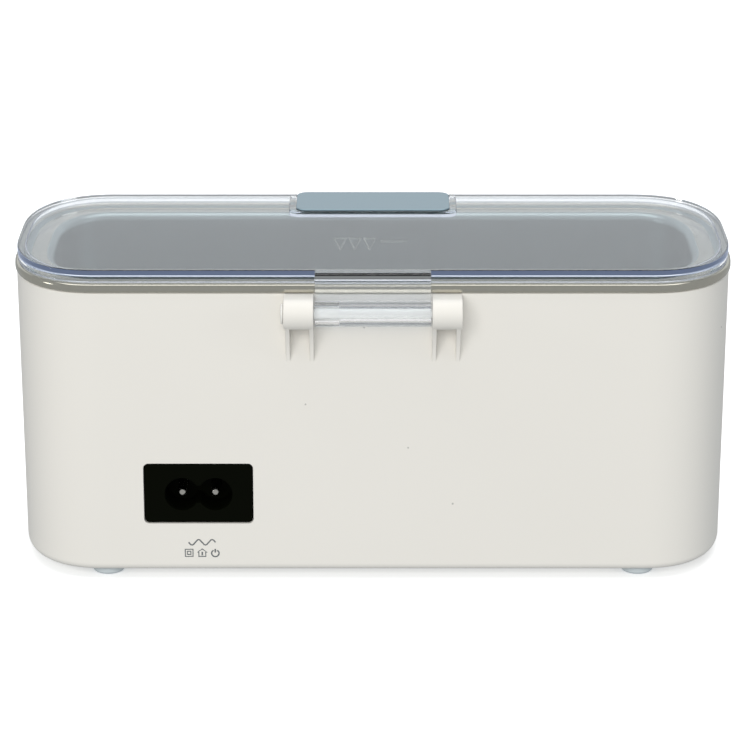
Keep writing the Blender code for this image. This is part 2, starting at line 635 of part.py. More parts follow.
# ---------------------------------------------------------------- push button
def make_button():
    """A round cap in a lit ring, pressing a tact switch on its own small board behind the front wall."""
    front = -HALF_DEPTH + wall_inset(BUTTON_Z)
    middle = (0, front, BUTTON_Z)
    ring_inner = BUTTON_RADIUS + 0.35
    ring_profile = [(ring_inner, -0.3), (RING_RADIUS - 0.3, -0.3), (RING_RADIUS, 0.0), (RING_RADIUS, 1.1)]
    ring_profile += [(RING_RADIUS - 1.25, 1.1), (RING_RADIUS - 1.25, 2.9), (ring_inner, 2.9)]
    finish("light_ring", turned(ring_profile, 28, middle, "Y", closed=True), FROSTED)
    press = make_joint("button_axis", middle)
    cap_profile = [(0, -BUTTON_PROUD), (BUTTON_RADIUS - 0.8, -BUTTON_PROUD), (BUTTON_RADIUS, 0.0)]
    cap_profile += [(BUTTON_RADIUS, 3.2), (BUTTON_RADIUS + 0.9, 3.2), (BUTTON_RADIUS + 0.9, 3.9), (0, 3.9)]
    finish("button_cap", turned(cap_profile, 28, middle, "Y"), CHROME, press)
    plunger = rod(1.6, 4.0, 5.65 - SWITCH_TRAVEL - 0.15, 14, middle, "Y")
    finish("switch_plunger", plunger, BLACK, press)
    switch_low = BUTTON_BOARD_IN - 0.1
    switch_body = plate(3.0, 3.0, 0.3, 4.55, switch_low, middle)
    switch = finish("tact_switch", switch_body, BLACK)
    well = rod(1.9, 4.0, 5.65, 14, middle, "Y")
    combine(switch, finish("tool_switch_well", well, BLACK), "DIFFERENCE")
    board = plate(18.5, 7.0, 1.0, BUTTON_BOARD_IN, BUTTON_BOARD_IN + 1.0, middle)
    button_board = finish("button_board", board, BOARD)
    for index, side in enumerate((-1, 1), 1):
        place = (side * BUTTON_BOSS_X, front, BUTTON_Z)
        hole = rod(1.0, BUTTON_BOARD_IN - 1, BUTTON_BOARD_IN + 2, 10, place, "Y")
        combine(button_board, finish(f"tool_button_board_hole_{index}", hole, BOARD), "DIFFERENCE")
        fixing = screw(1.8, 0.9, 0.75, 4.2, (0, 0, 0), "-Y")
        fixing.transform(Matrix.Translation((place[0], front + BUTTON_BOARD_IN + 1.1, BUTTON_Z)))
        finish(f"button_screw_{index}", fixing, NICKEL)
        lamp = plate(0.9, 1.4, 0.2, 4.8, switch_low, (side * (RING_RADIUS - 1.4), front, BUTTON_Z))
        finish(f"lamp_{index}", lamp, FROSTED)
    return front + BUTTON_BOARD_IN + 1.0


# ---------------------------------------------------------------- lid, handle plate and hinge pin
HANDLE_HALF = 20.7
HANDLE_BACK = 18.4  # how far the plate reaches back from the lid's front edge
HANDLE_BLOCK_HALF = 22.6


def hinge_arm():
    """Side view of the arm: back from the lid, down outside the rim, into the round barrel."""
    back = HALF_DEPTH
    axis = (back + HINGE_OUT, HINGE_Z)
    outer = back + HINGE_OUT - 1.5
    inner = back + HINGE_OUT - BARREL_RADIUS
    top = LID_TOP - 0.05
    meet = math.degrees(math.acos(-1.5 / BARREL_RADIUS))
    points = [(back - 3.0, top)] + arc((outer - 1.3, top - 1.3), 1.3, 90, 0, 4)
    points += arc(axis, BARREL_RADIUS, meet, -180, 18)
    points += arc((inner - 0.8, LID_UNDER - 0.8), 0.8, 0, 90, 3)
    points += [(back - 3.0, LID_UNDER)]
    return prism(points, -BARREL_HALF, BARREL_HALF)


def make_lid():
    """A clear tray turned upside down, with its hinge arm at the back and the handle's block in front."""
    hinge = make_joint("hinge_axis", (0, HALF_DEPTH + HINGE_OUT, HINGE_Z))
    skirt_low = RIM_TOP + REST_GAP
    edge = 0.3
    tray = skin(
        [
            (edge + SKIRT + 0.6, LID_UNDER),
            (edge + SKIRT, LID_UNDER - 0.5),
            (edge + SKIRT, skirt_low),
            (edge, skirt_low),
            (edge, LID_TOP - 0.5),
            (edge + 0.15, LID_TOP - 0.15),
            (edge + 0.5, LID_TOP),
        ]
    )
    lid = finish("lid", tray, CLEAR, hinge)
    combine(lid, finish("tool_arm", hinge_arm(), CLEAR), "UNION")
    front = -HALF_DEPTH + edge
    raised = block(
        (-HANDLE_BLOCK_HALF, front + 0.6, LID_UNDER - 0.9),
        (HANDLE_BLOCK_HALF, front + HANDLE_BACK + 1.0, LID_TOP + 0.25),
        2.4,
    )
    combine(lid, finish("tool_handle_block", raised, CLEAR), "UNION")
    pocket = block(
        (-HANDLE_HALF - FIT_GAP, front - 2, LID_TOP - 0.3),
        (HANDLE_HALF + FIT_GAP, front + HANDLE_BACK + FIT_GAP, LID_TOP + 2),
        3.2,
    )
    combine(lid, finish("tool_handle_pocket", pocket, CLEAR), "DIFFERENCE")
    axis = (0, HALF_DEPTH + HINGE_OUT, HINGE_Z)
    bore = rod(PIN_RADIUS + RUNNING_GAP, -BARREL_HALF - 2, BARREL_HALF + 2, 20, axis, "X")
    combine(lid, finish("tool_barrel_bore", bore, CLEAR), "DIFFERENCE")
    counterbore = rod(1.95, BARREL_HALF - 6.2, BARREL_HALF + 2, 20, axis, "X")
    combine(lid, finish("tool_barrel_counterbore", counterbore, CLEAR), "DIFFERENCE")

    tab = block(
        (-HANDLE_HALF, front - 0.1, LID_TOP - 0.1), (HANDLE_HALF, front + HANDLE_BACK, LID_TOP + 0.6), 3.0
    )
    tab_top = [e for e in tab.edges if min(v.co.z for v in e.verts) > LID_TOP + 0.5]
    bmesh.ops.bevel(tab, geom=tab_top, offset=0.3, segments=1, profile=0.5, affect="EDGES", material=-1)
    finish("lid_handle", tab, CHROME, hinge)


def make_hinge_pin():
    profile = [(0, -EAR_OUTER), (PIN_RADIUS - 0.3, -EAR_OUTER), (PIN_RADIUS, -EAR_OUTER + 0.5)]
    profile += [(PIN_RADIUS, EAR_OUTER + 0.1), (2.6, EAR_OUTER + 0.1), (2.6, EAR_OUTER + 0.5)]
    profile += [(2.3, EAR_OUTER + 0.7), (0, EAR_OUTER + 0.7)]
    place = (0, HALF_DEPTH + HINGE_OUT, HINGE_Z)
    finish("hinge_pin", turned(profile, 18, place, "X"), IVORY)


# ---------------------------------------------------------------- assembly
make_housing()
make_feet()
make_base_cover()
make_cover_screws()
make_tank()
make_tank_seal()
DISC_UNDER = make_transducer()
make_main_board()
make_mains_parts()
make_transformer()
make_power_stage()
INLET_TAILS = make_inlet()
BUTTON_BOARD_BACK = make_button()
make_lid()
make_hinge_pin()

WIRE_RADIUS = 0.75
ON_CONNECTOR = 18.0 + 0.3
(NEUTRAL_X, TAIL_Y, TAIL_Z), (LIVE_X, _, _) = INLET_TAILS
wire(
    "mains_wire_1",
    [
        (NEUTRAL_X, TAIL_Y - 0.3, TAIL_Z),
        (41.6, TAIL_Y - 3, TAIL_Z),
        (45.8, 10.5, 22.6),
        (48.2, 4.8, 20.8),
        (48.4, 4, 19.5),
        (48.4, 4, ON_CONNECTOR),
    ],
    WIRE_RADIUS,
    BLACK_LEAD,
)
wire(
    "mains_wire_2",
    [
        (LIVE_X, TAIL_Y - 0.3, TAIL_Z),
        (49.9, TAIL_Y - 3, TAIL_Z),
        (51.2, 10.5, 22.2),
        (51.6, 4.8, 20.8),
        (51.6, 4, 19.5),
        (51.6, 4, ON_CONNECTOR),
    ],
    WIRE_RADIUS,
    RED_LEAD,
)
wire(
    "transducer_wire_1",
    [
        (-14, 8, DISC_UNDER - 0.3),
        (-14.8, 8, DISC_UNDER - 2.2),
        (-20, 9, 24.5),
        (-30, 9, 22.6),
        (-40, 7.6, 22.0),
        (-46.6, 5.2, 21.4),
        (-48.4, 4, 19.5),
        (-48.4, 4, ON_CONNECTOR),
    ],
    WIRE_RADIUS,
    RED_LEAD,
)
wire(
    "transducer_wire_2",
    [
        (-14, 1, DISC_UNDER - 0.3),
        (-14.8, 1.2, DISC_UNDER - 2.2),
        (-20, 2.4, 24.6),
        (-30, 2.8, 22.4),
        (-40, 2.4, 21.4),
        (-46.5, 2.2, 21.6),
        (-51.6, 4, 20.4),
        (-51.6, 4, ON_CONNECTOR),
    ],
    WIRE_RADIUS,
    BLACK_LEAD,
)
CABLE_RADIUS = 1.1
CABLE_X = -11.9
wire(
    "button_cable",
    [
        (CABLE_X, BUTTON_BOARD_BACK + CABLE_RADIUS + 0.3, BUTTON_Z - 4.5),
        (CABLE_X, BUTTON_BOARD_BACK + 1.4, 33),
        (CABLE_X, BUTTON_BOARD_BACK + 2.2, 27),
        (CABLE_X, -21.5, 21.5),
        (CABLE_X, -16, 19.4),
        (CABLE_X, -16, 17.0),
    ],
    CABLE_RADIUS,
    IVORY,
)
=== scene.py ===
import math

import bmesh
import bpy
from mathutils import Matrix, Vector


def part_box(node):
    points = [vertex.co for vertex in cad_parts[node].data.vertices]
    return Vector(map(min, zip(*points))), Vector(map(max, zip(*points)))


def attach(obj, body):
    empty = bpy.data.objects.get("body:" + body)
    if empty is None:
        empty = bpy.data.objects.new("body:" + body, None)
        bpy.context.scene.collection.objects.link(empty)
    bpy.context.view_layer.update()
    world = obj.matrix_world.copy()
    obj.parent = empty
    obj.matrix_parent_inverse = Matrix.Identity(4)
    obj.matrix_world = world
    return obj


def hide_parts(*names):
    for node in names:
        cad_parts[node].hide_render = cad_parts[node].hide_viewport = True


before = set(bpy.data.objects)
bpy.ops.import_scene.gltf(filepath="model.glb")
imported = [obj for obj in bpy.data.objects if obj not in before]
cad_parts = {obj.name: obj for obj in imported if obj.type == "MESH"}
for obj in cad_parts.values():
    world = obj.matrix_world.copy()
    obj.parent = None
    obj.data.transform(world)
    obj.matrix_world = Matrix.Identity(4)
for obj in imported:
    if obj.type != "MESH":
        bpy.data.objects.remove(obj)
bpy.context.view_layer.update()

# ------------------------------------------------------------------ studio
# A pale sweep under six soft boxes: one overhead, one behind the viewer, two before the object, a small one
# for the highlight at one end and one that fills the other.  The view is from behind and a little above.
MM = 0.001
bath_low, bath_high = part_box("tank")
middle_y = (bath_low.y + bath_high.y) / 2 / MM  # the tub's middle, which every section measures from

scene = bpy.context.scene
scene.view_settings.view_transform = "Standard"

lens = bpy.data.cameras.new("camera")
lens.lens = 154.04
lens.shift_x = 0.00276
lens.shift_y = 0.00268
lens.clip_end = 20
camera = bpy.data.objects.new("camera", lens)
camera.location = Vector((0, 813.98 + middle_y, 315.01)) * MM
camera.rotation_euler = (math.radians(90 - 18.464), 0, math.pi)
scene.collection.objects.link(camera)
scene.camera = camera

sky = bpy.data.worlds.new("studio_walls")
sky.use_nodes = True
sky.node_tree.nodes["Background"].inputs["Color"].default_value = (0.93, 0.97, 1.0, 1)
sky.node_tree.nodes["Background"].inputs["Strength"].default_value = 0.46
scene.world = sky


def soft_box(name, place, aim, width, height, power, tint=(1, 1, 1)):
    lamp = bpy.data.lights.new(name, "AREA")
    lamp.shape = "RECTANGLE"
    lamp.size, lamp.size_y = width, height
    lamp.energy = power
    lamp.color = tint
    holder = bpy.data.objects.new(name, lamp)
    holder.location = place
    holder.rotation_euler = (Vector(aim) - Vector(place)).to_track_quat("-Z", "Y").to_euler()
    scene.collection.objects.link(holder)
    return holder


soft_box("overhead_box", (0.0, -0.15, 1.35), (0, 0, 0.04), 1.5, 1.0, 7)
soft_box("far_box", (0.0, -2.2, 1.0), (0, 0, 0.1), 3.6, 1.5, 5.5, (0.94, 0.98, 1))
soft_box("end_box", (0.95, 0.22, 0.42), (0.08, 0, 0.08), 0.22, 0.16, 0.5, (1, 0.99, 0.97))
viewer_box = soft_box("viewer_box", (0.33, 1.5, 0.75), (0, 0, 0.05), 1.2, 0.8, 18, (1, 0.985, 0.955))
front_box = soft_box("front_box", (-0.4, -1.6, 0.8), (0, 0, 0.04), 1.2, 0.8, 11, (1, 0.99, 0.97))
side_box = soft_box("side_box", (-1.6, 0.5, 0.5), (-0.08, 0, 0.04), 0.9, 0.7, 3.5, (0.97, 0.99, 1))
for lamp in (viewer_box, front_box, side_box):
    lamp.visible_glossy = False  # only their light is wanted on the steel and the lid, not their faces
for lamp in (viewer_box, front_box):
    lamp.visible_transmission = False

sweep_mesh = bmesh.new()
bmesh.ops.create_grid(sweep_mesh, x_segments=1, y_segments=1, size=6)
sweep_data = bpy.data.meshes.new("sweep")
sweep_mesh.to_mesh(sweep_data)
sweep_mesh.free()
sweep = bpy.data.objects.new("sweep", sweep_data)
scene.collection.objects.link(sweep)
sweep.visible_diffuse = False  # the walls take their light from the boxes, not from the sweep
sweep.visible_glossy = False
paper = bpy.data.materials.new("studio_paper")
paper.use_nodes = True
paper_shader = paper.node_tree.nodes["Principled BSDF"]
paper_shader.inputs["Base Color"].default_value = (0.95, 0.95, 0.95, 1)
paper_shader.inputs["Roughness"].default_value = 0.9
paper_shader.inputs["Emission Color"].default_value = (1, 1, 1, 1)
paper_shader.inputs["Emission Strength"].default_value = 0.3
sweep_data.materials.append(paper)

# ------------------------------------------------------------------ housing
# The tub: one white ABS moulding with a rounded foot, walls that lean out towards the top, a ledge that
# carries the bath, and two hinge ears on ribs.  Its face is lightly spark-eroded.
HALF_WIDTH = 93.0
HALF_DEPTH = 37.0
CORNER_X = 23.0
CORNER_Y = 31.5
CORNER_FULLNESS = 0.547  # a touch squarer than a quarter ellipse
FOOT_HEIGHT = 2.2
HOUSING_TOP = 77.9
LEAN = 0.5
WALL = 2.2
FLOOR_TOP = FOOT_HEIGHT + 3.6


def tub_outline(mesh_data, segments=26):
    """One loop of edges on the tub's outline, seen from above."""
    flat = Matrix.Diagonal((HALF_WIDTH, HALF_DEPTH * CORNER_X / CORNER_Y, 1, 1))
    bmesh.ops.create_grid(mesh_data, x_segments=1, y_segments=1, size=1, matrix=flat)
    bmesh.ops.bevel(
        mesh_data,
        geom=mesh_data.verts[:],
        offset=CORNER_X,
        offset_type="OFFSET",
        affect="VERTICES",
        segments=segments,
        profile=CORNER_FULLNESS,
        material=-1,
    )
    bmesh.ops.scale(mesh_data, vec=(1, CORNER_Y / CORNER_X, 1), verts=mesh_data.verts)
    bmesh.ops.delete(mesh_data, geom=mesh_data.faces[:], context="FACES_ONLY")
    return mesh_data.edges[:]


def draw_in(verts, before, after):
    """Moves a loop from one inset of the tub's outline to another."""
    for vertex in verts:
        over_x = abs(vertex.co.x) - (HALF_WIDTH - CORNER_X)
        over_y = abs(vertex.co.y) - (HALF_DEPTH - CORNER_Y)
        if over_x > 0:
            over_x *= (CORNER_X - after) / (CORNER_X - before)
            vertex.co.x = math.copysign(HALF_WIDTH - CORNER_X + over_x, vertex.co.x)
        if over_y > 0:
            over_y *= (CORNER_Y - after) / (CORNER_Y - before)
            vertex.co.y = math.copysign(HALF_DEPTH - CORNER_Y + over_y, vertex.co.y)


def eased(corners, steps=5, closed=False):
    """A profile of (across, up, radius) corners with each corner rounded to its radius."""
    points = []
    for index, (across, up, radius) in enumerate(corners):
        here = Vector((across, up))
        if not radius or (not closed and index in (0, len(corners) - 1)):
            points.append(here)
            continue
        back = (Vector(corners[index - 1][:2]) - here).normalized()
        ahead = (Vector(corners[(index + 1) % len(corners)][:2]) - here).normalized()
        half = back.angle(ahead) / 2
        centre = here + (back + ahead).normalized() * radius / math.sin(half)
        first = here + back * radius / math.tan(half) - centre
        last = here + ahead * radius / math.tan(half) - centre
        sweep_angle = math.pi - 2 * half
        for step in range(steps + 1):
            share = step / steps * sweep_angle
            turn = first * math.sin(sweep_angle - share) + last * math.sin(share)
            points.append(centre + turn / math.sin(sweep_angle))
    return points


def drawn_shell(stations, closed=False, segments=26):
    """A skin through the tub's outline at each (inset, height), its ends filled, or joined if closed."""
    mesh_data = bmesh.new()
    band = mesh_data.faces.layers.int.new("band")
    edges = tub_outline(mesh_data, segments)
    start = edges
    draw_in(mesh_data.verts, 0, stations[0][0])
    for vertex in mesh_data.verts:
        vertex.co.z = stations[0][1]
    for index, ((before, _), (after, height)) in enumerate(zip(stations, stations[1:])):
        grown = bmesh.ops.extrude_edge_only(mesh_data, edges=edges)["geom"]
        edges = [g for g in grown if isinstance(g, bmesh.types.BMEdge)]
        verts = [g for g in grown if isinstance(g, bmesh.types.BMVert)]
        for face in (g for g in grown if isinstance(g, bmesh.types.BMFace)):
            face[band] = index
        draw_in(verts, before, after)
        for vertex in verts:
            vertex.co.z = height
    if closed:
        bmesh.ops.bridge_loops(mesh_data, edges=start + edges)
    else:
        bmesh.ops.edgeloop_fill(mesh_data, edges=start)
        bmesh.ops.edgeloop_fill(mesh_data, edges=edges)
    return mesh_data


def set_down(name, mesh_data, sharp=32):
    """An object in the frame from a bmesh drawn in millimetres about the tub's middle."""
    bmesh.ops.translate(mesh_data, vec=(0, middle_y, 0), verts=mesh_data.verts)
    bmesh.ops.scale(mesh_data, vec=(MM, MM, MM), verts=mesh_data.verts)
    bmesh.ops.recalc_face_normals(mesh_data, faces=mesh_data.faces)
    mesh = bpy.data.meshes.new(name)
    mesh_data.to_mesh(mesh)
    mesh_data.free()
    mesh.shade_smooth()
    mesh.set_sharp_from_angle(angle=math.radians(sharp))
    piece = bpy.data.objects.new(name, mesh)
    scene.collection.objects.link(piece)
    return piece


def picked_up(piece):
    """The bmesh of a piece, back in millimetres about the tub's middle.  The piece is thrown away."""
    mesh_data = bmesh.new()
    mesh_data.from_mesh(piece.data)
    mesh_data.transform(Matrix.Translation((0, -middle_y, 0)) @ Matrix.Scale(1 / MM, 4))
    bpy.data.objects.remove(piece)
    return mesh_data


def fit(piece, body, slot, *nodes, finish):
    """Closes the piece's seams, gives it its finishes and body, and puts it in place of its solids."""
    mesh_data = bmesh.new()
    mesh_data.from_mesh(piece.data)
    bmesh.ops.remove_doubles(mesh_data, verts=mesh_data.verts, dist=2e-6)
    bmesh.ops.dissolve_degenerate(mesh_data, edges=mesh_data.edges, dist=1e-6)
    mesh_data.to_mesh(piece.data)
    mesh_data.free()
    for material in finish if isinstance(finish, list) else [finish]:
        piece.data.materials.append(material)
    flats = piece.modifiers.new("true_flats", "WEIGHTED_NORMAL")
    flats.keep_sharp = True
    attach(piece, body)
    if nodes:
        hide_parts(*nodes)
    return piece


def cut(piece, tool_data, operation="DIFFERENCE"):
    """Cuts the piece with a tool, or joins the tool to it, and throws the tool away."""
    tool = set_down("tool", tool_data)
    step = piece.modifiers.new("cut", "BOOLEAN")
    step.object = tool
    step.operation = operation
    step.solver = "EXACT"
    graph = bpy.context.evaluated_depsgraph_get()
    made = bpy.data.meshes.new_from_object(piece.evaluated_get(graph))
    piece.modifiers.clear()
    old_mesh, old_tool = piece.data, tool.data
    piece.data = made
    bpy.data.objects.remove(tool)
    bpy.data.meshes.remove(old_tool)
    bpy.data.meshes.remove(old_mesh)
    made.name = piece.name
    made.shade_smooth()
    made.set_sharp_from_angle(angle=math.radians(32))


def turned(profile, segments, place=(0, 0, 0), along="Z", closed=False):
    """A profile of (radius, height) points spun about an axis through place."""
    mesh_data = bmesh.new()
    line = [mesh_data.verts.new((point[0], 0, point[1])) for point in profile]
    pairs = list(zip(line, line[1:])) + ([(line[-1], line[0])] if closed else [])
    edges = [mesh_data.edges.new(pair) for pair in pairs]
    bmesh.ops.spin(
        mesh_data,
        geom=line + edges,
        cent=(0, 0, 0),
        axis=(0, 0, 1),
        angle=2 * math.pi,
        steps=segments,
        use_merge=True,
    )
    bmesh.ops.remove_doubles(mesh_data, verts=mesh_data.verts, dist=1e-4)
    quarter = math.pi / 2
    turns = {"X": (quarter, "Y"), "-X": (-quarter, "Y"), "Y": (-quarter, "X")}
    turns.update({"Z": (0, "Z"), "-Z": (math.pi, "X")})
    angle, axis = turns[along]
    mesh_data.transform(Matrix.Translation(Vector(place)) @ Matrix.Rotation(angle, 4, axis))
    return mesh_data


def rod(radius, start, end, segments=32, place=(0, 0, 0), along="Z"):
    """A plain round bar."""
    return turned([(0, start), (radius, start), (radius, end), (0, end)], segments, place, along)


def rounded(mesh_data, edges, width, segments):
    bmesh.ops.bevel(
        mesh_data, geom=edges, offset=width, affect="EDGES", segments=segments, profile=0.5, material=-1
    )


def slab(low, high, corner=0.0, edge=0.0, segments=6):
    """A box with its upright edges rounded to corner, then its top and bottom edges to edge."""
    low, high = Vector(low), Vector(high)
    mesh_data = bmesh.new()
    place = Matrix.Translation((low + high) / 2) @ Matrix.Diagonal((*(high - low), 1))
    bmesh.ops.create_cube(mesh_data, size=1, matrix=place)
    if corner:
        upright = [e for e in mesh_data.edges if abs(e.verts[0].co.z - e.verts[1].co.z) > 1e-4]
        rounded(mesh_data, upright, corner, segments)
    if edge:
        rims = mesh_data.edges[:]
        if corner:
            rims = [e for e in rims if any(abs(f.normal.z) > 0.9 for f in e.link_faces)]
        rounded(mesh_data, rims, edge, 3)
    return mesh_data


def upright(mesh_data, place):
    """Stands a flat-lying shape up against the back or front wall, its own Z becoming Y."""
    swap = Matrix(((1, 0, 0, 0), (0, 0, 1, 0), (0, 1, 0, 0), (0, 0, 0, 1)))
    mesh_data.transform(Matrix.Translation(Vector(place)) @ swap)
    return mesh_data


def wall_inset(height):
    return LEAN * (HOUSING_TOP - height) / (HOUSING_TOP - FOOT_HEIGHT)


HINGE_OUT = 4.6
HINGE_Z = 73.9
EAR_RADIUS = 4.0
EAR_INNER = 14.95
EAR_OUTER = 22.6
RIB_FOOT = 58.6
INLET_X = 45.1
INLET_Z = 23.6
INLET_WIDTH = 28.3
INLET_HEIGHT = 16.5
BUTTON_Z = 42.0
BUTTON_BOSS_X = 15.0
BUTTON_BOARD_IN = 6.0
RING_RADIUS = 9.2
COVER_HALF_X = 68.0
COVER_HALF_Y = 24.5
COVER_DEPTH = 2.1
SCREW_X = 64.2
SCREW_Y = 19.8
FOOT_X = 69.3
FOOT_Y = 29.7
FOOT_RADIUS = 4.3

tub_profile = eased(
    [
        (LEAN + 8.0, FOOT_HEIGHT, 0),
        (LEAN, FOOT_HEIGHT, 2.0),
        (0.0, HOUSING_TOP, 0.5),
        (5.5, HOUSING_TOP, 0.3),
        (5.5, HOUSING_TOP - 2.0, 0.3),
        (WALL, HOUSING_TOP - 4.5, 1.0),
        (WALL + LEAN, FLOOR_TOP, 1.5),
        (WALL + 8.0, FLOOR_TOP, 0),
    ],
    steps=6,
)
housing = set_down("housing_shell", drawn_shell([tuple(p) for p in tub_profile]))


def side_view(points, x_low, x_high, edge=0.0):
    """A closed outline of (y, z) points run from x_low to x_high, with its outline edges eased."""
    mesh_data = bmesh.new()
    face = mesh_data.faces.new([mesh_data.verts.new((x_low, *point)) for point in points])
    grown = bmesh.ops.extrude_face_region(mesh_data, geom=[face])["geom"]
    moved = [g for g in grown if isinstance(g, bmesh.types.BMVert)]
    bmesh.ops.translate(mesh_data, verts=moved, vec=(x_high - x_low, 0, 0))
    if edge:
        bmesh.ops.recalc_face_normals(mesh_data, faces=mesh_data.faces)
        rims = [e for e in mesh_data.edges if any(abs(f.normal.x) > 0.9 for f in e.link_faces)]
        rounded(mesh_data, rims, edge, 2)
    return mesh_data


def arc(centre, radius, start, end, steps):
    """Points of (y, z) along an arc, in degrees from +Y towards +Z."""
    turns = [math.radians(start + (end - start) * step / steps) for step in range(steps + 1)]
    return [(centre[0] + radius * math.cos(turn), centre[1] + radius * math.sin(turn)) for turn in turns]


ear_axis = (HALF_DEPTH + HINGE_OUT, HINGE_Z)
root_y = HALF_DEPTH - 1.2
for side in (-1, 1):
    low_x, high_x = sorted((side * EAR_INNER, side * EAR_OUTER))
    ear = [(root_y, HINGE_Z + EAR_RADIUS)] + arc(ear_axis, EAR_RADIUS, 90, -90, 22)
    cut(housing, side_view(ear + [(root_y, HINGE_Z - EAR_RADIUS)], low_x, high_x, 0.35), "UNION")
    for rib_start in (EAR_INNER + 0.05, EAR_OUTER - 1.55):
        rib_low, rib_high = sorted((side * rib_start, side * (rib_start + 1.1)))
        rib_root = HALF_DEPTH - 1.9
        rib = [(rib_root, HINGE_Z - 1), (HALF_DEPTH + 7.3, HINGE_Z - 2.4)]
        rib += [(HALF_DEPTH - 0.8, RIB_FOOT), (rib_root, RIB_FOOT)]
        cut(housing, side_view(rib, rib_low, rib_high, 0.2), "UNION")

screw_places = [(x, y) for x in (-SCREW_X, SCREW_X) for y in (-SCREW_Y, SCREW_Y)]
foot_places = [(x, y) for x in (-FOOT_X, FOOT_X) for y in (-FOOT_Y, FOOT_Y)]
front_wall = -HALF_DEPTH + wall_inset(BUTTON_Z)
for x, y in screw_places:
    cut(housing, rod(3.4, FLOOR_TOP - 1, FLOOR_TOP + 5, 24, (x, y, 0)), "UNION")
for side in (-1, 1):
    boss_place = (side * BUTTON_BOSS_X, front_wall, BUTTON_Z)
    cut(housing, rod(2.6, WALL - 1, BUTTON_BOARD_IN - 0.1, 24, boss_place, "Y"), "UNION")
    cut(housing, rod(0.9, WALL + 0.6, BUTTON_BOARD_IN + 1, 16, boss_place, "Y"))
bay = set_down("bay", slab((-65, -21.5, 1), (65, 21.5, FLOOR_TOP + 1), 3))
for x, y in screw_places:
    cut(bay, rod(4.6, 0, FLOOR_TOP + 2, 24, (x, y, 0)))
cut(housing, picked_up(bay))
cover_high = FOOT_HEIGHT + COVER_DEPTH
cut(housing, slab((-COVER_HALF_X, -COVER_HALF_Y, 1), (COVER_HALF_X, COVER_HALF_Y, cover_high), 5))
for x, y in screw_places:
    cut(housing, rod(1.5, FOOT_HEIGHT, FLOOR_TOP + 4, 16, (x, y, 0)))
for x, y in foot_places:
    cut(housing, rod(FOOT_RADIUS + 0.25, 1, FOOT_HEIGHT + 0.6, 40, (x, y, 0)))
window = slab((-INLET_WIDTH / 2, -INLET_HEIGHT / 2, 31), (INLET_WIDTH / 2, INLET_HEIGHT / 2, 39), 1.3)
cut(housing, upright(window, (INLET_X, 0, INLET_Z)))
front_place = (0, front_wall, BUTTON_Z)
cut(housing, rod(RING_RADIUS - 1.0, -1.5, WALL + 1.5, 56, front_place, "Y"))
cut(housing, rod(RING_RADIUS + 0.25, -1.5, 1.2, 56, front_place, "Y"))
cut(housing, rod(1.5, -30, 30, 28, (0, *ear_axis), "X"))


def soften(piece, low, high, width):
    """Eases the sharp edges of a piece that lie inside the box from low to high, in millimetres."""
    mesh_data = bmesh.new()
    mesh_data.from_mesh(piece.data)
    low = (Vector(low) + Vector((0, middle_y, 0))) * MM
    high = (Vector(high) + Vector((0, middle_y, 0))) * MM
    chosen = []
    for edge in mesh_data.edges:
        inside = all(low[k] <= v.co[k] <= high[k] for v in edge.verts for k in range(3))
        if inside and len(edge.link_faces) == 2 and edge.calc_face_angle() > math.radians(40):
            chosen.append(edge)
    rounded(mesh_data, chosen, width * MM, 2)
    mesh_data.to_mesh(piece.data)
    mesh_data.free()
    piece.data.shade_smooth()
    piece.data.set_sharp_from_angle(angle=math.radians(32))


soften(housing, (30, HALF_DEPTH - 0.6, 14), (60, HALF_DEPTH + 0.1, 33), 0.22)
soften(housing, (-10, -HALF_DEPTH - 0.1, 31), (10, -HALF_DEPTH + 0.6, 53), 0.2)


def new_finish(name):
    """A material, its node tree and its shader."""
    made = bpy.data.materials.new(name)
    made.use_nodes = True
    return made, made.node_tree, made.node_tree.nodes["Principled BSDF"]


def feed(tree, socket, value):
    """Sets a socket to a plain value, or links another node's output to it."""
    if isinstance(value, bpy.types.NodeSocket):
        tree.links.new(value, socket)
    else:
        socket.default_value = value


def worked(tree, operation, *values):
    """A Math node's output."""
    node = tree.nodes.new("ShaderNodeMath")
    node.operation = operation
    for socket, value in zip(node.inputs, values):
        feed(tree, socket, value)
    return node.outputs[0]


def noise(tree, where, scale, detail):
    node = tree.nodes.new("ShaderNodeTexNoise")
    for name, value in (("Vector", where), ("Scale", scale), ("Detail", detail)):
        feed(tree, node.inputs[name], value)
    return node.outputs["Fac"]


def shaded(tree, colour, shade):
    """The colour made lighter or darker by a shade about one."""
    node = tree.nodes.new("ShaderNodeMix")
    node.data_type = "RGBA"
    node.blend_type = "MULTIPLY"
    for name, value in (("Factor", 1), ("A", colour), ("B", shade)):
        feed(tree, node.inputs[name], value)
    return node.outputs["Result"]


def skin_group(name, *settings):
    """An empty group from a colour and some settings to a colour, a roughness and a height."""
    group = bpy.data.node_groups.new(name, "ShaderNodeTree")
    face = group.interface
    face.new_socket("Colour", in_out="INPUT", socket_type="NodeSocketColor")
    for setting in settings:
        kind = "NodeSocketVector" if setting == "Stretch" else "NodeSocketFloat"
        face.new_socket(setting, in_out="INPUT", socket_type=kind)
    face.new_socket("Colour", in_out="OUTPUT", socket_type="NodeSocketColor")
    face.new_socket("Roughness", in_out="OUTPUT", socket_type="NodeSocketFloat")
    face.new_socket("Height", in_out="OUTPUT", socket_type="NodeSocketFloat")
    given = group.nodes.new("NodeGroupInput").outputs
    put_out = group.nodes.new("NodeGroupOutput").inputs
    where = group.nodes.new("ShaderNodeTexCoord").outputs["Object"]
    return group, given, put_out, where


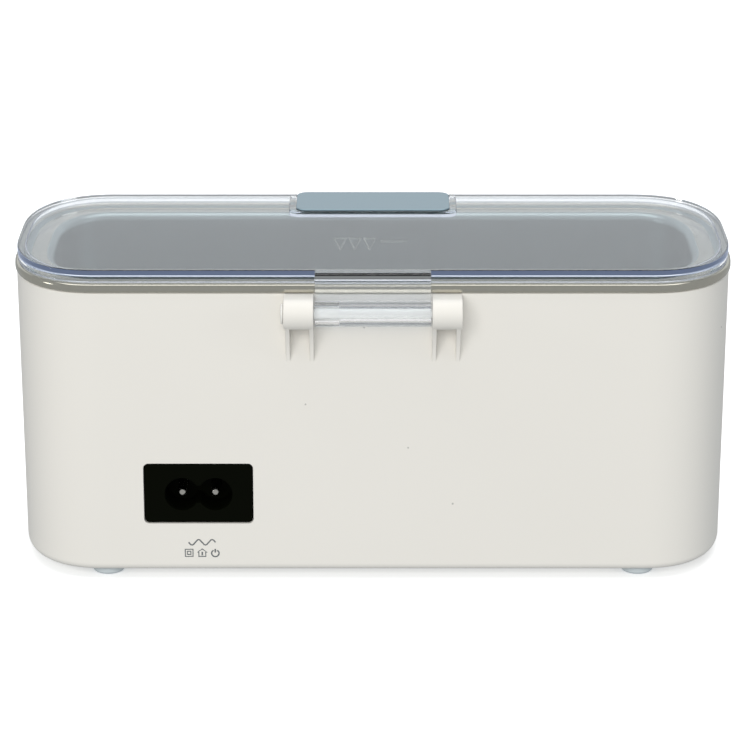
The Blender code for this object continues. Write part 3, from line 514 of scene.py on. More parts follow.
def moulded_skin():
    """Moulded plastic: a colour that clouds slightly, an uneven sheen, a fine grain and a few specks."""
    names = ("Clouding", "Roughness", "Sheen Change", "Grain Scale", "Specks")
    group, given, put_out, where = skin_group("moulded_skin", *names)
    cloud = worked(group, "SUBTRACT", noise(group, where, 22, 3), 0.5)
    strength = worked(group, "MULTIPLY_ADD", cloud, given["Clouding"], 1.0)
    spots = group.nodes.new("ShaderNodeTexVoronoi")
    feed(group, spots.inputs["Scale"], 75)
    feed(group, spots.inputs["Vector"], where)
    near = worked(group, "LESS_THAN", spots.outputs["Distance"], 0.022)
    speck = worked(group, "MULTIPLY", near, given["Specks"])
    shade = worked(group, "SUBTRACT", strength, speck)
    feed(group, put_out["Colour"], shaded(group, given["Colour"], shade))
    level = worked(group, "SUBTRACT", noise(group, where, 70, 4), 0.5)
    rough = worked(group, "MULTIPLY_ADD", level, given["Sheen Change"], given["Roughness"])
    feed(group, put_out["Roughness"], rough)
    feed(group, put_out["Height"], noise(group, where, given["Grain Scale"], 2))
    return group


plastic_skin = moulded_skin()


def skinned(name, group, depth, settings):
    """A finish whose colour, roughness and relief, in millimetres of depth, come from a skin group."""
    made, tree, shader = new_finish(name)
    skin = tree.nodes.new("ShaderNodeGroup")
    skin.node_tree = group
    for setting, value in settings.items():
        skin.inputs[setting].default_value = value
    bump = tree.nodes.new("ShaderNodeBump")
    bump.inputs["Distance"].default_value = depth * MM
    feed(tree, bump.inputs["Height"], skin.outputs["Height"])
    feed(tree, shader.inputs["Normal"], bump.outputs["Normal"])
    feed(tree, shader.inputs["Base Color"], skin.outputs["Colour"])
    feed(tree, shader.inputs["Roughness"], skin.outputs["Roughness"])
    made.diffuse_color = settings["Colour"]
    return made, shader


def plastic(
    name, colour, roughness, clouding=0.05, sheen_change=0.12, grain=2600, depth=0.01, specks=0.0, gloss=0.5
):
    """A moulded plastic finish.  Grain is in grains per metre, depth in millimetres."""
    settings = {"Colour": (*colour, 1), "Clouding": clouding, "Roughness": roughness}
    settings.update({"Sheen Change": sheen_change, "Grain Scale": grain, "Specks": specks})
    made, shader = skinned(name, plastic_skin, depth, settings)
    shader.inputs["Specular IOR Level"].default_value = gloss
    return made


white_abs = plastic("white_abs", (0.80, 0.775, 0.725), 0.42, clouding=0.03, specks=0.35, gloss=0.45)
fit(housing, "base", "white_abs", "housing", finish=white_abs)

# ------------------------------------------------------------------ printed symbols
# Grey pad-printed symbols under the inlet: alternating current, double insulation, indoor use, standby.
# Each line is a thin raised film of ink on the leaning wall.
MARK_WIDTH = 0.42


def tube(points, radius, loop=False, handles="AUTO", sides=2, detail=6):
    """A round bar through the points, with rounded or sharp (VECTOR) turns."""
    curve = bpy.data.curves.new("route", "CURVE")
    curve.dimensions = "3D"
    curve.bevel_depth = radius
    curve.bevel_resolution = sides
    curve.resolution_u = detail
    curve.use_fill_caps = not loop
    spline = curve.splines.new("BEZIER")
    spline.bezier_points.add(len(points) - 1)
    for knot, place in zip(spline.bezier_points, points):
        knot.co = place
        knot.handle_left_type = knot.handle_right_type = handles
    spline.use_cyclic_u = loop
    holder = bpy.data.objects.new("route", curve)
    scene.collection.objects.link(holder)
    graph = bpy.context.evaluated_depsgraph_get()
    made = bpy.data.meshes.new_from_object(holder.evaluated_get(graph))
    mesh_data = bmesh.new()
    mesh_data.from_mesh(made)
    bmesh.ops.remove_doubles(mesh_data, verts=mesh_data.verts, dist=1e-4)
    bpy.data.objects.remove(holder)
    bpy.data.curves.remove(curve)
    bpy.data.meshes.remove(made)
    return mesh_data


def gathered(*parts):
    """One bmesh from pairs of a finish's number and a bmesh."""
    whole = bmesh.new()
    for number, part in parts:
        for face in part.faces:
            face.material_index = number
        carried = bpy.data.meshes.new("part")
        part.to_mesh(carried)
        part.free()
        whole.from_mesh(carried)
        bpy.data.meshes.remove(carried)
    return whole


def mark(points, loop=False, handles="VECTOR", width=MARK_WIDTH):
    """A line of ink through flat (x, z) points, pressed thin."""
    line = tube([(x, 0, z) for x, z in points], width / 2, loop, handles, 1, 4)
    bmesh.ops.scale(line, vec=(1, 0.12, 1), verts=line.verts)
    return line


def ring_points(x, z, radius, steps=10, start=0, end=360):
    """Points round a circle, or along a part of it, whose last point is then kept."""
    count = steps + (end - start < 360)
    turns = [math.radians(start + (end - start) * step / steps) for step in range(count)]
    return [(x + radius * math.cos(turn), z + radius * math.sin(turn)) for turn in turns]


wave = [(step * 0.7, (0, -0.75, 0, 0.75)[step % 4] * -1) for step in range(-4, 5)]
square = [(-1, -1), (1, -1), (1, 1), (-1, 1)]
house = [(-0.9, -1), (0.9, -1), (0.9, 0.2), (1.2, 0.2), (0, 1.1), (-1.2, 0.2), (-0.9, 0.2)]
symbols = [
    mark([(x * 1.25, z + 2.95) for x, z in wave], handles="AUTO"),
    mark([(x * 1.0 + 3.4, z * 1.0) for x, z in square], loop=True),
    mark([(x * 0.45 + 3.4, z * 0.45) for x, z in square], loop=True),
    mark(house, loop=True),
    mark([(0, -0.7), (0, 0.3)]),
    mark(ring_points(-3.4, -0.1, 0.95, 10, 120, 420), handles="AUTO"),
    mark([(-3.4, 0.1), (-3.4, 1.1)]),
]
symbol_mesh = gathered(*[(0, symbol) for symbol in symbols])
lean_angle = math.atan(LEAN / (HOUSING_TOP - FOOT_HEIGHT))
symbol_place = Matrix.Translation((44.4, HALF_DEPTH - wall_inset(9), 7.2))
symbol_mesh.transform(symbol_place @ Matrix.Rotation(-lean_angle, 4, "X"))
symbol_print = set_down("printed_symbols", symbol_mesh)
grey_ink = plastic("grey_ink", (0.15, 0.16, 0.165), 0.5, clouding=0.2, grain=4000, depth=0.002)
fit(symbol_print, "base", "white_abs", finish=grey_ink)

# ------------------------------------------------------------------ feet
# Four pale grey rubber discs, pressed into round recesses in the corners of the tub's underside.
# Each has a rounded edge and a shallow dish that grips the table.
foot_profile = [(0, 0.35), (2.4, 0.35), (2.75, 0.1), (3.0, 0), (3.45, 0), (3.85, 0.12), (4.15, 0.42)]
foot_profile += [(FOOT_RADIUS, 0.85), (FOOT_RADIUS, FOOT_HEIGHT + 0.5), (0, FOOT_HEIGHT + 0.5)]
pale_rubber = plastic("pale_rubber", (0.58, 0.63, 0.65), 0.62, clouding=0.1, grain=1800, depth=0.02)
for index, (x, y) in enumerate(foot_places, 1):
    foot = set_down(f"rubber_foot_{index}", turned(foot_profile, 48, (x, y, 0)))
    fit(foot, "base", "grey_rubber", f"foot_{index}", finish=pale_rubber)

# ------------------------------------------------------------------ bath
# Deep-drawn from stainless sheet, with a flat flange that is rolled over outside into the bright rim.
# The drawing leaves upright streaks on the walls; the rim is buffed, and a level mark is pressed inside.
RIM_TOP = 80.3
SHEET = 0.8
BATH_FLOOR = 33.0
FLANGE_TOP = RIM_TOP - 0.8

bath_inside = eased(
    [
        (21.0, BATH_FLOOR, 0),
        (11.4, BATH_FLOOR, 6.0),
        (9.8, FLANGE_TOP, 2.0),
        (2.6, FLANGE_TOP, 0.3),
    ],
    steps=8,
)
rolled_rim = eased(
    [
        (2.2, FLANGE_TOP, 0.4),
        (1.6, RIM_TOP, 0.5),
        (-0.4, RIM_TOP, 1.2),
        (-0.4, RIM_TOP - 2.2, 0.35),
        (0.35, RIM_TOP - 2.2, 0.3),
        (0.35, RIM_TOP - SHEET, 0.5),
        (1.6, RIM_TOP - SHEET, 0.3),
        (2.4, FLANGE_TOP - SHEET, 0.3),
    ],
    steps=6,
    closed=True,
)
bath_outside = eased(
    [
        (2.6, FLANGE_TOP - SHEET, 0),
        (9.8 - SHEET, FLANGE_TOP - SHEET, 1.2),
        (11.4 - SHEET, BATH_FLOOR - SHEET, 6.8),
        (21.0, BATH_FLOOR - SHEET, 0),
    ],
    steps=8,
)
bath_points = [tuple(p) for p in bath_inside[:-1] + rolled_rim + bath_outside[1:]]
bath_mesh = drawn_shell(bath_points, segments=34)
band = bath_mesh.faces.layers.int["band"]
for face in bath_mesh.faces:
    if len(bath_inside) - 2 <= face[band] < len(bath_inside) + len(rolled_rim) - 2:
        face.material_index = 1
LEVEL_Z = 71.2
wall_y = -(HALF_DEPTH - 9.8 - 1.6 * (FLANGE_TOP - LEVEL_Z) / (FLANGE_TOP - BATH_FLOOR))
pressed = []
for x in (8.9, 4.9, 0.9):
    corners = [(x - 1.6, wall_y, LEVEL_Z + 1.5), (x + 1.6, wall_y, LEVEL_Z + 1.5), (x, wall_y, LEVEL_Z - 1.7)]
    pressed.append((1, tube(corners, 0.34, True, "VECTOR", 3, 2)))
level_line = [(-2.1, wall_y, LEVEL_Z + 0.6), (-9.4, wall_y, LEVEL_Z + 0.6)]
pressed.append((1, tube(level_line, 0.3, False, "VECTOR", 3)))
level_mark = gathered(*pressed)
pressed_in = bpy.data.meshes.new("level_mark")
level_mark.to_mesh(pressed_in)
level_mark.free()
bath_mesh.from_mesh(pressed_in)
bpy.data.meshes.remove(pressed_in)
bath = set_down("bath", bath_mesh)


def brushed_metal():
    """Brushed or drawn metal: long streaks that change the shade, the sheen and the height a little."""
    names = ("Stretch", "Streak Shade", "Roughness", "Streak Sheen")
    group, given, put_out, where = skin_group("brushed_metal", *names)
    drawn_out = group.nodes.new("ShaderNodeVectorMath")
    drawn_out.operation = "MULTIPLY"
    feed(group, drawn_out.inputs[0], where)
    feed(group, drawn_out.inputs[1], given["Stretch"])
    fine = noise(group, drawn_out.outputs[0], 1, 3)
    broad = noise(group, drawn_out.outputs[0], 0.12, 2)
    level = worked(group, "SUBTRACT", worked(group, "ADD", fine, broad), 1.0)
    shade = worked(group, "MULTIPLY_ADD", level, given["Streak Shade"], 1.0)
    rough = worked(group, "MULTIPLY_ADD", level, given["Streak Sheen"], given["Roughness"])
    feed(group, put_out["Colour"], shaded(group, given["Colour"], shade))
    feed(group, put_out["Roughness"], rough)
    feed(group, put_out["Height"], fine)
    return group


metal_streaks = brushed_metal()


def metal(name, colour, roughness, stretch, shade=0.12, sheen=0.15, depth=0.004):
    """A metal finish.  Stretch is streaks per metre along X, Y and Z, depth in millimetres."""
    settings = {"Colour": (*colour, 1), "Stretch": stretch, "Streak Shade": shade}
    settings.update({"Roughness": roughness, "Streak Sheen": sheen})
    made, shader = skinned(name, metal_streaks, depth, settings)
    shader.inputs["Metallic"].default_value = 1
    return made


upright_streaks = (900, 900, 9)
drawn_steel = metal("drawn_steel", (0.385, 0.46, 0.46), 0.30, upright_streaks, 0.045, 0.05, 0.0001)
buffed_steel = metal("buffed_steel", (0.585, 0.56, 0.48), 0.14, (900, 900, 900), shade=0.06, sheen=0.05)
fit(bath, "base", "stainless_steel", "tank", finish=[drawn_steel, buffed_steel])

# ------------------------------------------------------------------ bath seal
# A soft white silicone gasket between the bath's flange and the tub's ledge, with a groove along it.
# It is laid in loose and squeezed when the bath goes in.
seal_low = HOUSING_TOP + 0.12
seal_high = FLANGE_TOP - SHEET - 0.12
seal_profile = [(2.75, seal_low), (2.6, seal_low + 0.15), (2.6, seal_high - 0.15), (2.75, seal_high)]
seal_profile += [(3.7, seal_high), (3.9, seal_high - 0.15), (4.1, seal_high), (5.05, seal_high)]
seal_profile += [(5.2, seal_high - 0.15), (5.2, seal_low + 0.15), (5.05, seal_low)]
seal = set_down("flange_seal", drawn_shell(seal_profile, closed=True))
silicone = plastic("silicone", (0.62, 0.62, 0.60), 0.55, clouding=0.08, grain=900, depth=0.01)
fit(seal, "base", "silicone", "tank_seal", finish=silicone)

# ------------------------------------------------------------------ ultrasonic transducer
# A fired piezo-ceramic disc with silvered faces, glued under the bath with a thick bead of epoxy.
# Its two wires are soldered to the silvered face underneath.
DISC_RADIUS = 19.0
bond_top = BATH_FLOOR - SHEET - 0.1
disc_top = bond_top - 0.5
disc_low = disc_top - 2.6
bond_profile = [(0, bond_top - 0.4), (18.3, bond_top - 0.4), (18.7, bond_top - 0.3), (18.8, bond_top - 0.15)]
bond_profile += [(18.4, bond_top), (0, bond_top)]
bond = set_down("glue_bead", turned(bond_profile, 72))
resin = plastic("resin", (0.30, 0.20, 0.07), 0.25, clouding=0.3, grain=300, depth=0.05)
fit(bond, "base", "epoxy", "transducer_bond", finish=resin)


def solder_dot(radius, height, place, down=False):
    """A small domed bead of solder."""
    dome = [(0, height), (radius * 0.4, height * 0.93), (radius * 0.75, height * 0.6), (radius, 0), (0, 0)]
    return turned(dome, 16, place, "-Z" if down else "Z")


disc_profile = [(0, disc_low), (18.3, disc_low), (18.35, disc_low - 0.03), (18.4, disc_low)]
disc_profile += [(DISC_RADIUS - 0.3, disc_low), (DISC_RADIUS, disc_low + 0.3), (DISC_RADIUS, disc_top - 0.3)]
disc_profile += [(DISC_RADIUS - 0.3, disc_top), (0, disc_top)]
silvered = [(0, disc_low - 0.04), (18.2, disc_low - 0.04), (18.25, disc_low + 0.02), (0, disc_low + 0.02)]
disc_mesh = gathered(
    (0, turned(disc_profile, 72)),
    (1, turned(silvered, 72)),
    (2, solder_dot(1.6, 0.9, (-14, 8, disc_low), True)),
    (2, solder_dot(1.6, 0.9, (-14, 1, disc_low), True)),
)
disc = set_down("piezo_disc", disc_mesh)
fired_ceramic = plastic("fired_ceramic", (0.56, 0.50, 0.34), 0.65, clouding=0.15, grain=2500, depth=0.02)
silvering = metal("silvering", (0.72, 0.70, 0.66), 0.42, (500, 60, 500), shade=0.15, sheen=0.2)
solder = metal("solder", (0.62, 0.62, 0.62), 0.2, (700, 700, 700), shade=0.1, sheen=0.1)
fit(disc, "base", "piezo_ceramic", "transducer_disc", finish=[fired_ceramic, silvering, solder])

# ------------------------------------------------------------------ base cover and its screws
# A white ABS plate let into the tub's floor: seven air slots, four posts for the board, and four
# sunk holes for its nickel-plated self-tapping screws.
COVER_LOW = FOOT_HEIGHT + 0.1
COVER_HIGH = FOOT_HEIGHT + COVER_DEPTH - 0.1
BOARD_LOW = 9.4
BOARD_TOP = BOARD_LOW + 1.6

cover_low = (-COVER_HALF_X + 0.25, -COVER_HALF_Y + 0.25, COVER_LOW)
cover_mesh = slab(cover_low, (COVER_HALF_X - 0.25, COVER_HALF_Y - 0.25, COVER_HIGH), 4.8, 0.3, 10)
cover = set_down("base_plate", cover_mesh)
post_places = [(x, y) for x in (-52, 52) for y in (-15.5, 15.5)]
post = [(0, COVER_HIGH - 0.6), (3.3, COVER_HIGH - 0.6), (3.3, COVER_HIGH), (2.8, COVER_HIGH + 0.5)]
post += [(2.7, BOARD_LOW - 0.1), (0, BOARD_LOW - 0.1)]
for x, y in post_places:
    cut(cover, turned(post, 32, (x, y, 0)), "UNION")
    cut(cover, rod(1.2, COVER_HIGH + 0.8, BOARD_LOW + 1, 20, (x, y, 0)))
for x, y in screw_places:
    step = COVER_LOW + 1.3
    sunk = [(0, COVER_LOW - 1), (3.5, COVER_LOW - 1), (3.2, COVER_LOW + 0.25), (3.2, step), (1.7, step)]
    cut(cover, turned(sunk + [(1.7, COVER_HIGH + 1), (0, COVER_HIGH + 1)], 36, (x, y, 0)))
for index in range(7):
    x = (index - 3) * 7
    cut(cover, slab((x - 1, -9, 1), (x + 1, 9, 6), 0.9, segments=8))
soften(cover, (-30, -10, COVER_LOW - 0.1), (30, 10, COVER_LOW + 0.1), 0.2)
fit(cover, "base", "white_abs", "base_cover", finish=white_abs)


def screw(head, head_height, shank, length, pitch=0.55):
    """A self-tapping pan-head screw with a cross recess: its head's underside at zero, thread along +Z."""
    profile = [(0, -head_height), (head * 0.45, -head_height), (head * 0.78, -head_height * 0.86)]
    profile += [(head * 0.95, -head_height * 0.55), (head, -head_height * 0.3), (head, 0), (shank * 0.82, 0)]
    height = 0.5
    while height < length - 1.2:
        profile += [(shank * 0.82, height), (shank, height + pitch * 0.35)]
        profile.append((shank * 0.82, height + pitch * 0.7))
        height += pitch
    profile += [(shank * 0.8, length - 1.1), (0.3, length), (0, length)]
    made = set_down("screw", turned(profile, 28))
    for turn in (0, math.pi / 2):
        blade_low = (-head * 0.62, -head * 0.13, -head_height - 1)
        blade = slab(blade_low, (head * 0.62, head * 0.13, -head_height * 0.35))
        blade.transform(Matrix.Rotation(turn, 4, "Z"))
        cut(made, blade)
    return picked_up(made)


nickel = metal("nickel", (0.66, 0.63, 0.57), 0.24, (1200, 1200, 1200), shade=0.08, sheen=0.1, depth=0.002)
for index, (x, y) in enumerate(screw_places, 1):
    screw_mesh = screw(2.8, 1.1, 1.3, 5.6)
    turn = Matrix.Rotation(index * 0.7, 4, "Z")
    screw_mesh.transform(Matrix.Translation((x, y, FOOT_HEIGHT + 1.25)) @ turn)
    plate_screw = set_down(f"plate_screw_{index}", screw_mesh)
    fit(plate_screw, "base", "nickel_plate", f"cover_screw_{index}", finish=nickel)

# ------------------------------------------------------------------ main board and its screws
# A green glass-epoxy board on the cover's four posts: tinned rings round its fixing holes, soldered
# joints underneath, and the outline of each component printed in white on top.
board = set_down("power_board", slab((-60, -20, BOARD_LOW), (60, 20, BOARD_TOP), 2.0, 0.12, 8))
for x, y in post_places:
    cut(board, rod(1.4, BOARD_LOW - 1, BOARD_TOP + 1, 28, (x, y, 0)))

leads = [(48.4, 4), (51.6, 4), (-48.4, 4), (-51.6, 4), (-13.4, -16), (-10.4, -16), (25.5, 13.5), (42.5, 13.5)]
leads += [(28, 0.75), (42, 0.75), (33, -13.5), (33, -8.5), (45, -13.5), (45, -8.5)]
leads += [(21.2, y) for y in (-12.8, -10.6, -8.4, -6.2)]
leads += [(5.4, 4.4), (5.4, 11.6), (18.6, 4.4), (18.6, 11.6)]
leads += [(x, y) for x in (-2, 2, 6, 10) for y in (-17, -4)]
leads += [(x + shift, -3.25) for x in (-39, -25) for shift in (-2.54, 0, 2.54)]
tinned_ring = [(1.5, 0), (2.4, 0), (2.45, 0.03), (2.4, 0.06), (1.5, 0.06), (1.45, 0.03)]
board_parts = [(1, turned(tinned_ring, 32, (x, y, BOARD_TOP - 0.03), closed=True)) for x, y in post_places]
board_parts += [(1, solder_dot(0.95, 0.9, (x, y, BOARD_LOW), True)) for x, y in leads]
board_parts += [(1, solder_dot(0.8, 0.12, (x, y, BOARD_TOP))) for x, y in leads]


def board_line(points, loop=True):
    """A printed white line on the board's upper face."""
    line = tube([(x, y, 0) for x, y in points], 0.12, loop, "VECTOR", 1, 2)
    bmesh.ops.scale(line, vec=(1, 1, 0.25), verts=line.verts)
    bmesh.ops.translate(line, vec=(0, 0, BOARD_TOP + 0.005), verts=line.verts)
    return line


def framed(x_low, y_low, x_high, y_high):
    return [(x_low, y_low), (x_high, y_low), (x_high, y_high), (x_low, y_high)]


outlines = [framed(45, 0.5, 55, 7.5), framed(-55, 0.5, -45, 7.5), framed(-15.9, -19, -7.9, -13)]
outlines += [framed(24, 10.4, 44, 16.6), framed(25.5, -4, 44.5, 5.5), framed(19, -14.5, 23.4, -4.5)]
outlines += [framed(-6, -18.6, 14, -2.4), framed(-47.6, -17, -16.4, -8.4), framed(-57, -18, -50, -12)]
outlines += [ring_points(33, -11, 5.5, 24), ring_points(45, -11, 5.5, 24), ring_points(12, 8, 10.3, 32)]
board_parts += [(2, board_line(outline)) for outline in outlines]
board_extras = set_down("board_tinning_and_print", gathered(*board_parts))
solder_mask = plastic("solder_mask", (0.016, 0.115, 0.035), 0.32, clouding=0.25, grain=500, depth=0.03)
white_ink = plastic("white_ink", (0.75, 0.75, 0.72), 0.5, grain=3000, depth=0.002)
fit(board, "base", "circuit_board", "main_board", finish=solder_mask)
fit(board_extras, "base", "nickel_plate", finish=[solder_mask, solder, white_ink])
for index, (x, y) in enumerate(post_places, 1):
    screw_mesh = screw(2.2, 1.2, 1.0, 5.0)
    screw_mesh.transform(Matrix.Translation((x, y, BOARD_TOP + 0.1)) @ Matrix.Rotation(math.pi, 4, "X"))
    board_fixing = set_down(f"board_fixing_{index}", screw_mesh)
    fit(board_fixing, "base", "nickel_plate", f"board_screw_{index}", finish=nickel)

# ------------------------------------------------------------------ wire headers on the board
# Ivory nylon headers for the mains, transducer and button leads.  Each is a bevelled box with a round
# entry for every wire and a latch slot in its side.
ivory_nylon = plastic("ivory_nylon", (0.66, 0.60, 0.46), 0.45, clouding=0.06, grain=1500, depth=0.01)
SEATED = BOARD_TOP + 0.1
headers = [
    ("mains", (45.5, 1, SEATED), (54.5, 7, 18), [(48.4, 4), (51.6, 4)]),
    ("transducer", (-54.5, 1, SEATED), (-45.5, 7, 18), [(-48.4, 4), (-51.6, 4)]),
    ("button", (-15.4, -18.5, SEATED), (-8.4, -13.5, 16.6), [(-11.9, -16)]),
]
for name, low, high, entries in headers:
    header = set_down(f"{name}_header", slab(low, high, 0.4, 0.25, 3))
    for x, y in entries:
        cut(header, rod(1.3, high[2] - 2.5, high[2] + 1, 24, (x, y, 0)))
    middle_x = (low[0] + high[0]) / 2
    slot_low = (middle_x - 1.2, low[1] - 1, low[2] + 1.6)
    cut(header, slab(slot_low, (middle_x + 1.2, low[1] + 0.5, high[2] - 1.4)))
    cut(header, slab((low[0] - 1, high[1] - 0.6, low[2] + 2), (high[0] + 1, high[1] + 1, low[2] + 2.5)))
    fit(header, "base", "ivory_nylon", f"{name}_connector", finish=ivory_nylon)

# ------------------------------------------------------------------ fuse
# A ceramic tube with a pressed nickel cap at each end, held in two sprung clips on the board.
FUSE_Y = 13.5
fuse_z = SEATED + 2.7
tube_profile = [(0, -5.2), (2.25, -5.2), (2.3, -5), (2.3, 5), (2.25, 5.2), (0, 5.2)]
cap_profile = [(0, 0), (2.35, 0), (2.55, 0.15), (2.6, 0.4), (2.6, 3.9), (2.5, 4.1), (2.3, 4.15), (0, 4.15)]
fuse_parts = [(0, turned(tube_profile, 40, (34, FUSE_Y, fuse_z), "X"))]
for cap_x, along in ((25, "X"), (43, "-X")):
    fuse_parts.append((1, turned(cap_profile, 40, (cap_x, FUSE_Y, fuse_z), along)))
for side in (-1, 1):
    clip_x = 34 + side * 7
    clip_low = (clip_x - 1.3, FUSE_Y - 2.2, SEATED - 0.05)
    clip_high = (clip_x + 1.3, FUSE_Y + 2.2, SEATED + 0.3)
    fuse_parts.append((1, slab(clip_low, clip_high, 0.2, 0.08)))
    for lean in (-1, 1):
        spring = [(clip_x, FUSE_Y + lean * 1.9, SEATED + 0.2), (clip_x, FUSE_Y + lean * 2.85, fuse_z - 1)]
        spring += [(clip_x, FUSE_Y + lean * 2.85, fuse_z + 0.4), (clip_x, FUSE_Y + lean * 2.35, fuse_z + 1.7)]
        spring += [(clip_x, FUSE_Y + lean * 2.9, fuse_z + 2.4)]
        strip = tube(spring, 0.16, sides=1, detail=5)
        bmesh.ops.translate(strip, vec=(-clip_x, 0, 0), verts=strip.verts)
        bmesh.ops.scale(strip, vec=(7, 1, 1), verts=strip.verts)
        bmesh.ops.translate(strip, vec=(clip_x, 0, 0), verts=strip.verts)
        fuse_parts.append((1, strip))
fuse = set_down("ceramic_fuse", gathered(*fuse_parts))
fit(fuse, "base", "ivory_nylon", "fuse", finish=[ivory_nylon, nickel])

# ------------------------------------------------------------------ filter capacitor
# A yellow film capacitor in a moulded box, standing on two leads and four corner pips.
capacitor_parts = [(0, slab((26, -3.5, SEATED + 0.35), (44, 5, 25), 0.8, 0.5))]
for x in (27.2, 42.8):
    for y in (-2.3, 3.8):
        pip = slab((x - 0.7, y - 0.7, SEATED), (x + 0.7, y + 0.7, SEATED + 0.5), 0.2, 0.05)
        capacitor_parts.append((0, pip))
for x in (28, 42):
    lead = [(x, 0.75, BOARD_TOP - 0.2), (x, 0.75, SEATED + 0.6)]
    capacitor_parts.append((1, tube(lead, 0.4, handles="VECTOR")))
filter_capacitor = set_down("film_capacitor", gathered(*capacitor_parts))
yellow_case = plastic("yellow_case", (0.66, 0.42, 0.03), 0.38, clouding=0.05, grain=800, depth=0.01)
fit(filter_capacitor, "base", "yellow_case", "filter_capacitor", finish=[yellow_case, solder])

# ------------------------------------------------------------------ smoothing capacitors
# Two aluminium cans in dark shrink sleeve, with a pale stripe on the negative side, a crimp near the
# foot and a cross pressed into the bare top as a vent.
aluminium = metal("aluminium", (0.66, 0.67, 0.69), 0.34, (60, 60, 1600), shade=0.1, sheen=0.15)
sleeve = plastic("sleeve", (0.022, 0.028, 0.055), 0.28, clouding=0.1, grain=600, depth=0.005)
sleeve_stripe = plastic("sleeve_stripe", (0.42, 0.44, 0.46), 0.3, clouding=0.1, grain=600, depth=0.005)
can_profile = [(0, 0.25), (3.6, 0.25), (3.8, 0), (4.5, 0), (4.85, 0.2), (5, 0.55), (5, 1.6), (4.8, 2.0)]
can_profile += [(4.75, 2.3), (4.8, 2.6), (5, 3.0), (5, 15.0), (4.9, 15.5), (4.6, 15.8), (4.2, 15.8)]
can_profile += [(4.05, 15.62), (0, 15.62)]


def paint(piece, number, chosen):
    """Gives a finish's number to the faces whose middle, in millimetres from the tub's middle, is chosen."""
    for face in piece.data.polygons:
        if chosen(face.center / MM - Vector((0, middle_y, 0))):
            face.material_index = number


for index, x in enumerate((33, 45), 1):
    can = set_down(f"can_{index}", turned(can_profile, 48, (x, -11, SEATED)))
    for turn in (math.pi / 4, -math.pi / 4):
        score = slab((-3, -0.12, SEATED + 15.5), (3, 0.12, SEATED + 16))
        score.transform(Matrix.Translation((x, -11, 0)) @ Matrix.Rotation(turn, 4, "Z"))
        cut(can, score)
    fit(can, "base", "can_sleeve", f"smoothing_capacitor_{index}", finish=[sleeve, aluminium, sleeve_stripe])
    paint(can, 2, lambda place: place.y < -15.0 and abs(place.x - x) < 1.9)
    paint(can, 1, lambda place: place.z > SEATED + 15.3 and math.hypot(place.x - x, place.y + 11) < 4.1)

# ------------------------------------------------------------------ bridge rectifier
# A flat black moulding with one corner cut off to show its polarity, on four tinned leads.
bridge = set_down("bridge", slab((19.5, -14, SEATED + 0.4), (22.9, -5, 16.5), 0.4, 0.2, 3))
lead_parts = []
for y in (-12.8, -10.6, -8.4, -6.2):
    lead_parts.append((0, slab((20.9, y - 0.4, BOARD_TOP - 0.3), (21.5, y + 0.4, SEATED + 0.6), 0.08)))
corner_cut = slab((18, -2, -2), (25, 2, 2))
corner_cut.transform(Matrix.Translation((0, -4.6, 17.0)) @ Matrix.Rotation(math.radians(45), 4, "X"))
black_moulding = plastic("black_moulding", (0.012, 0.012, 0.013), 0.5, clouding=0.1, grain=2200, depth=0.02)
bridge_leads = set_down("bridge_leads", gathered(*lead_parts))
cut(bridge, corner_cut)
fit(bridge, "base", "black_plastic", "bridge_rectifier", finish=black_moulding)
fit(bridge_leads, "base", "nickel_plate", finish=solder)

# ------------------------------------------------------------------ filter choke
# A ferrite ring with two windings of enamelled copper wire, one on each side, whose four ends go down
# into the board.
CHOKE = (12, 8)
ring_profile = [(5.4, 0.6), (9.0, 0.6), (9.3, 0.9), (9.3, 7.1)]
ring_profile += [(9.0, 7.4), (5.4, 7.4), (5.1, 7.1), (5.1, 0.9)]
wire_turn = [(4.85, 0.9), (5.3, 0.35), (9.1, 0.35), (9.55, 0.9)]
wire_turn += [(9.55, 7.1), (9.1, 7.65), (5.3, 7.65), (4.85, 7.1)]
choke_parts = [(0, turned(ring_profile, 64, (*CHOKE, SEATED), closed=True))]
for side in (0, 180):
    for turn_index in range(10):
        angle = math.radians(side - 52 + turn_index * 11.5)
        out = Vector((math.cos(angle), math.sin(angle), 0))
        loop_points = [Vector((*CHOKE, SEATED + height)) + out * radius for radius, height in wire_turn]
        choke_parts.append((1, tube(loop_points, 0.3, True, sides=1, detail=2)))
for x, y in ((5.4, 4.4), (5.4, 11.6), (18.6, 4.4), (18.6, 11.6)):
    wire_end = [(x, y, BOARD_TOP - 0.2), (x, y, SEATED + 0.8)]
    choke_parts.append((1, tube(wire_end, 0.3, handles="VECTOR", sides=1)))
choke = set_down("wound_choke", gathered(*choke_parts))
enamelled_copper = metal("enamelled_copper", (0.55, 0.21, 0.06), 0.28, (900, 900, 900), shade=0.25, sheen=0.1)
ferrite = plastic("ferrite", (0.035, 0.035, 0.038), 0.6, clouding=0.2, grain=1800, depth=0.04)
fit(choke, "base", "copper_wire", "filter_choke", finish=[ferrite, enamelled_copper])

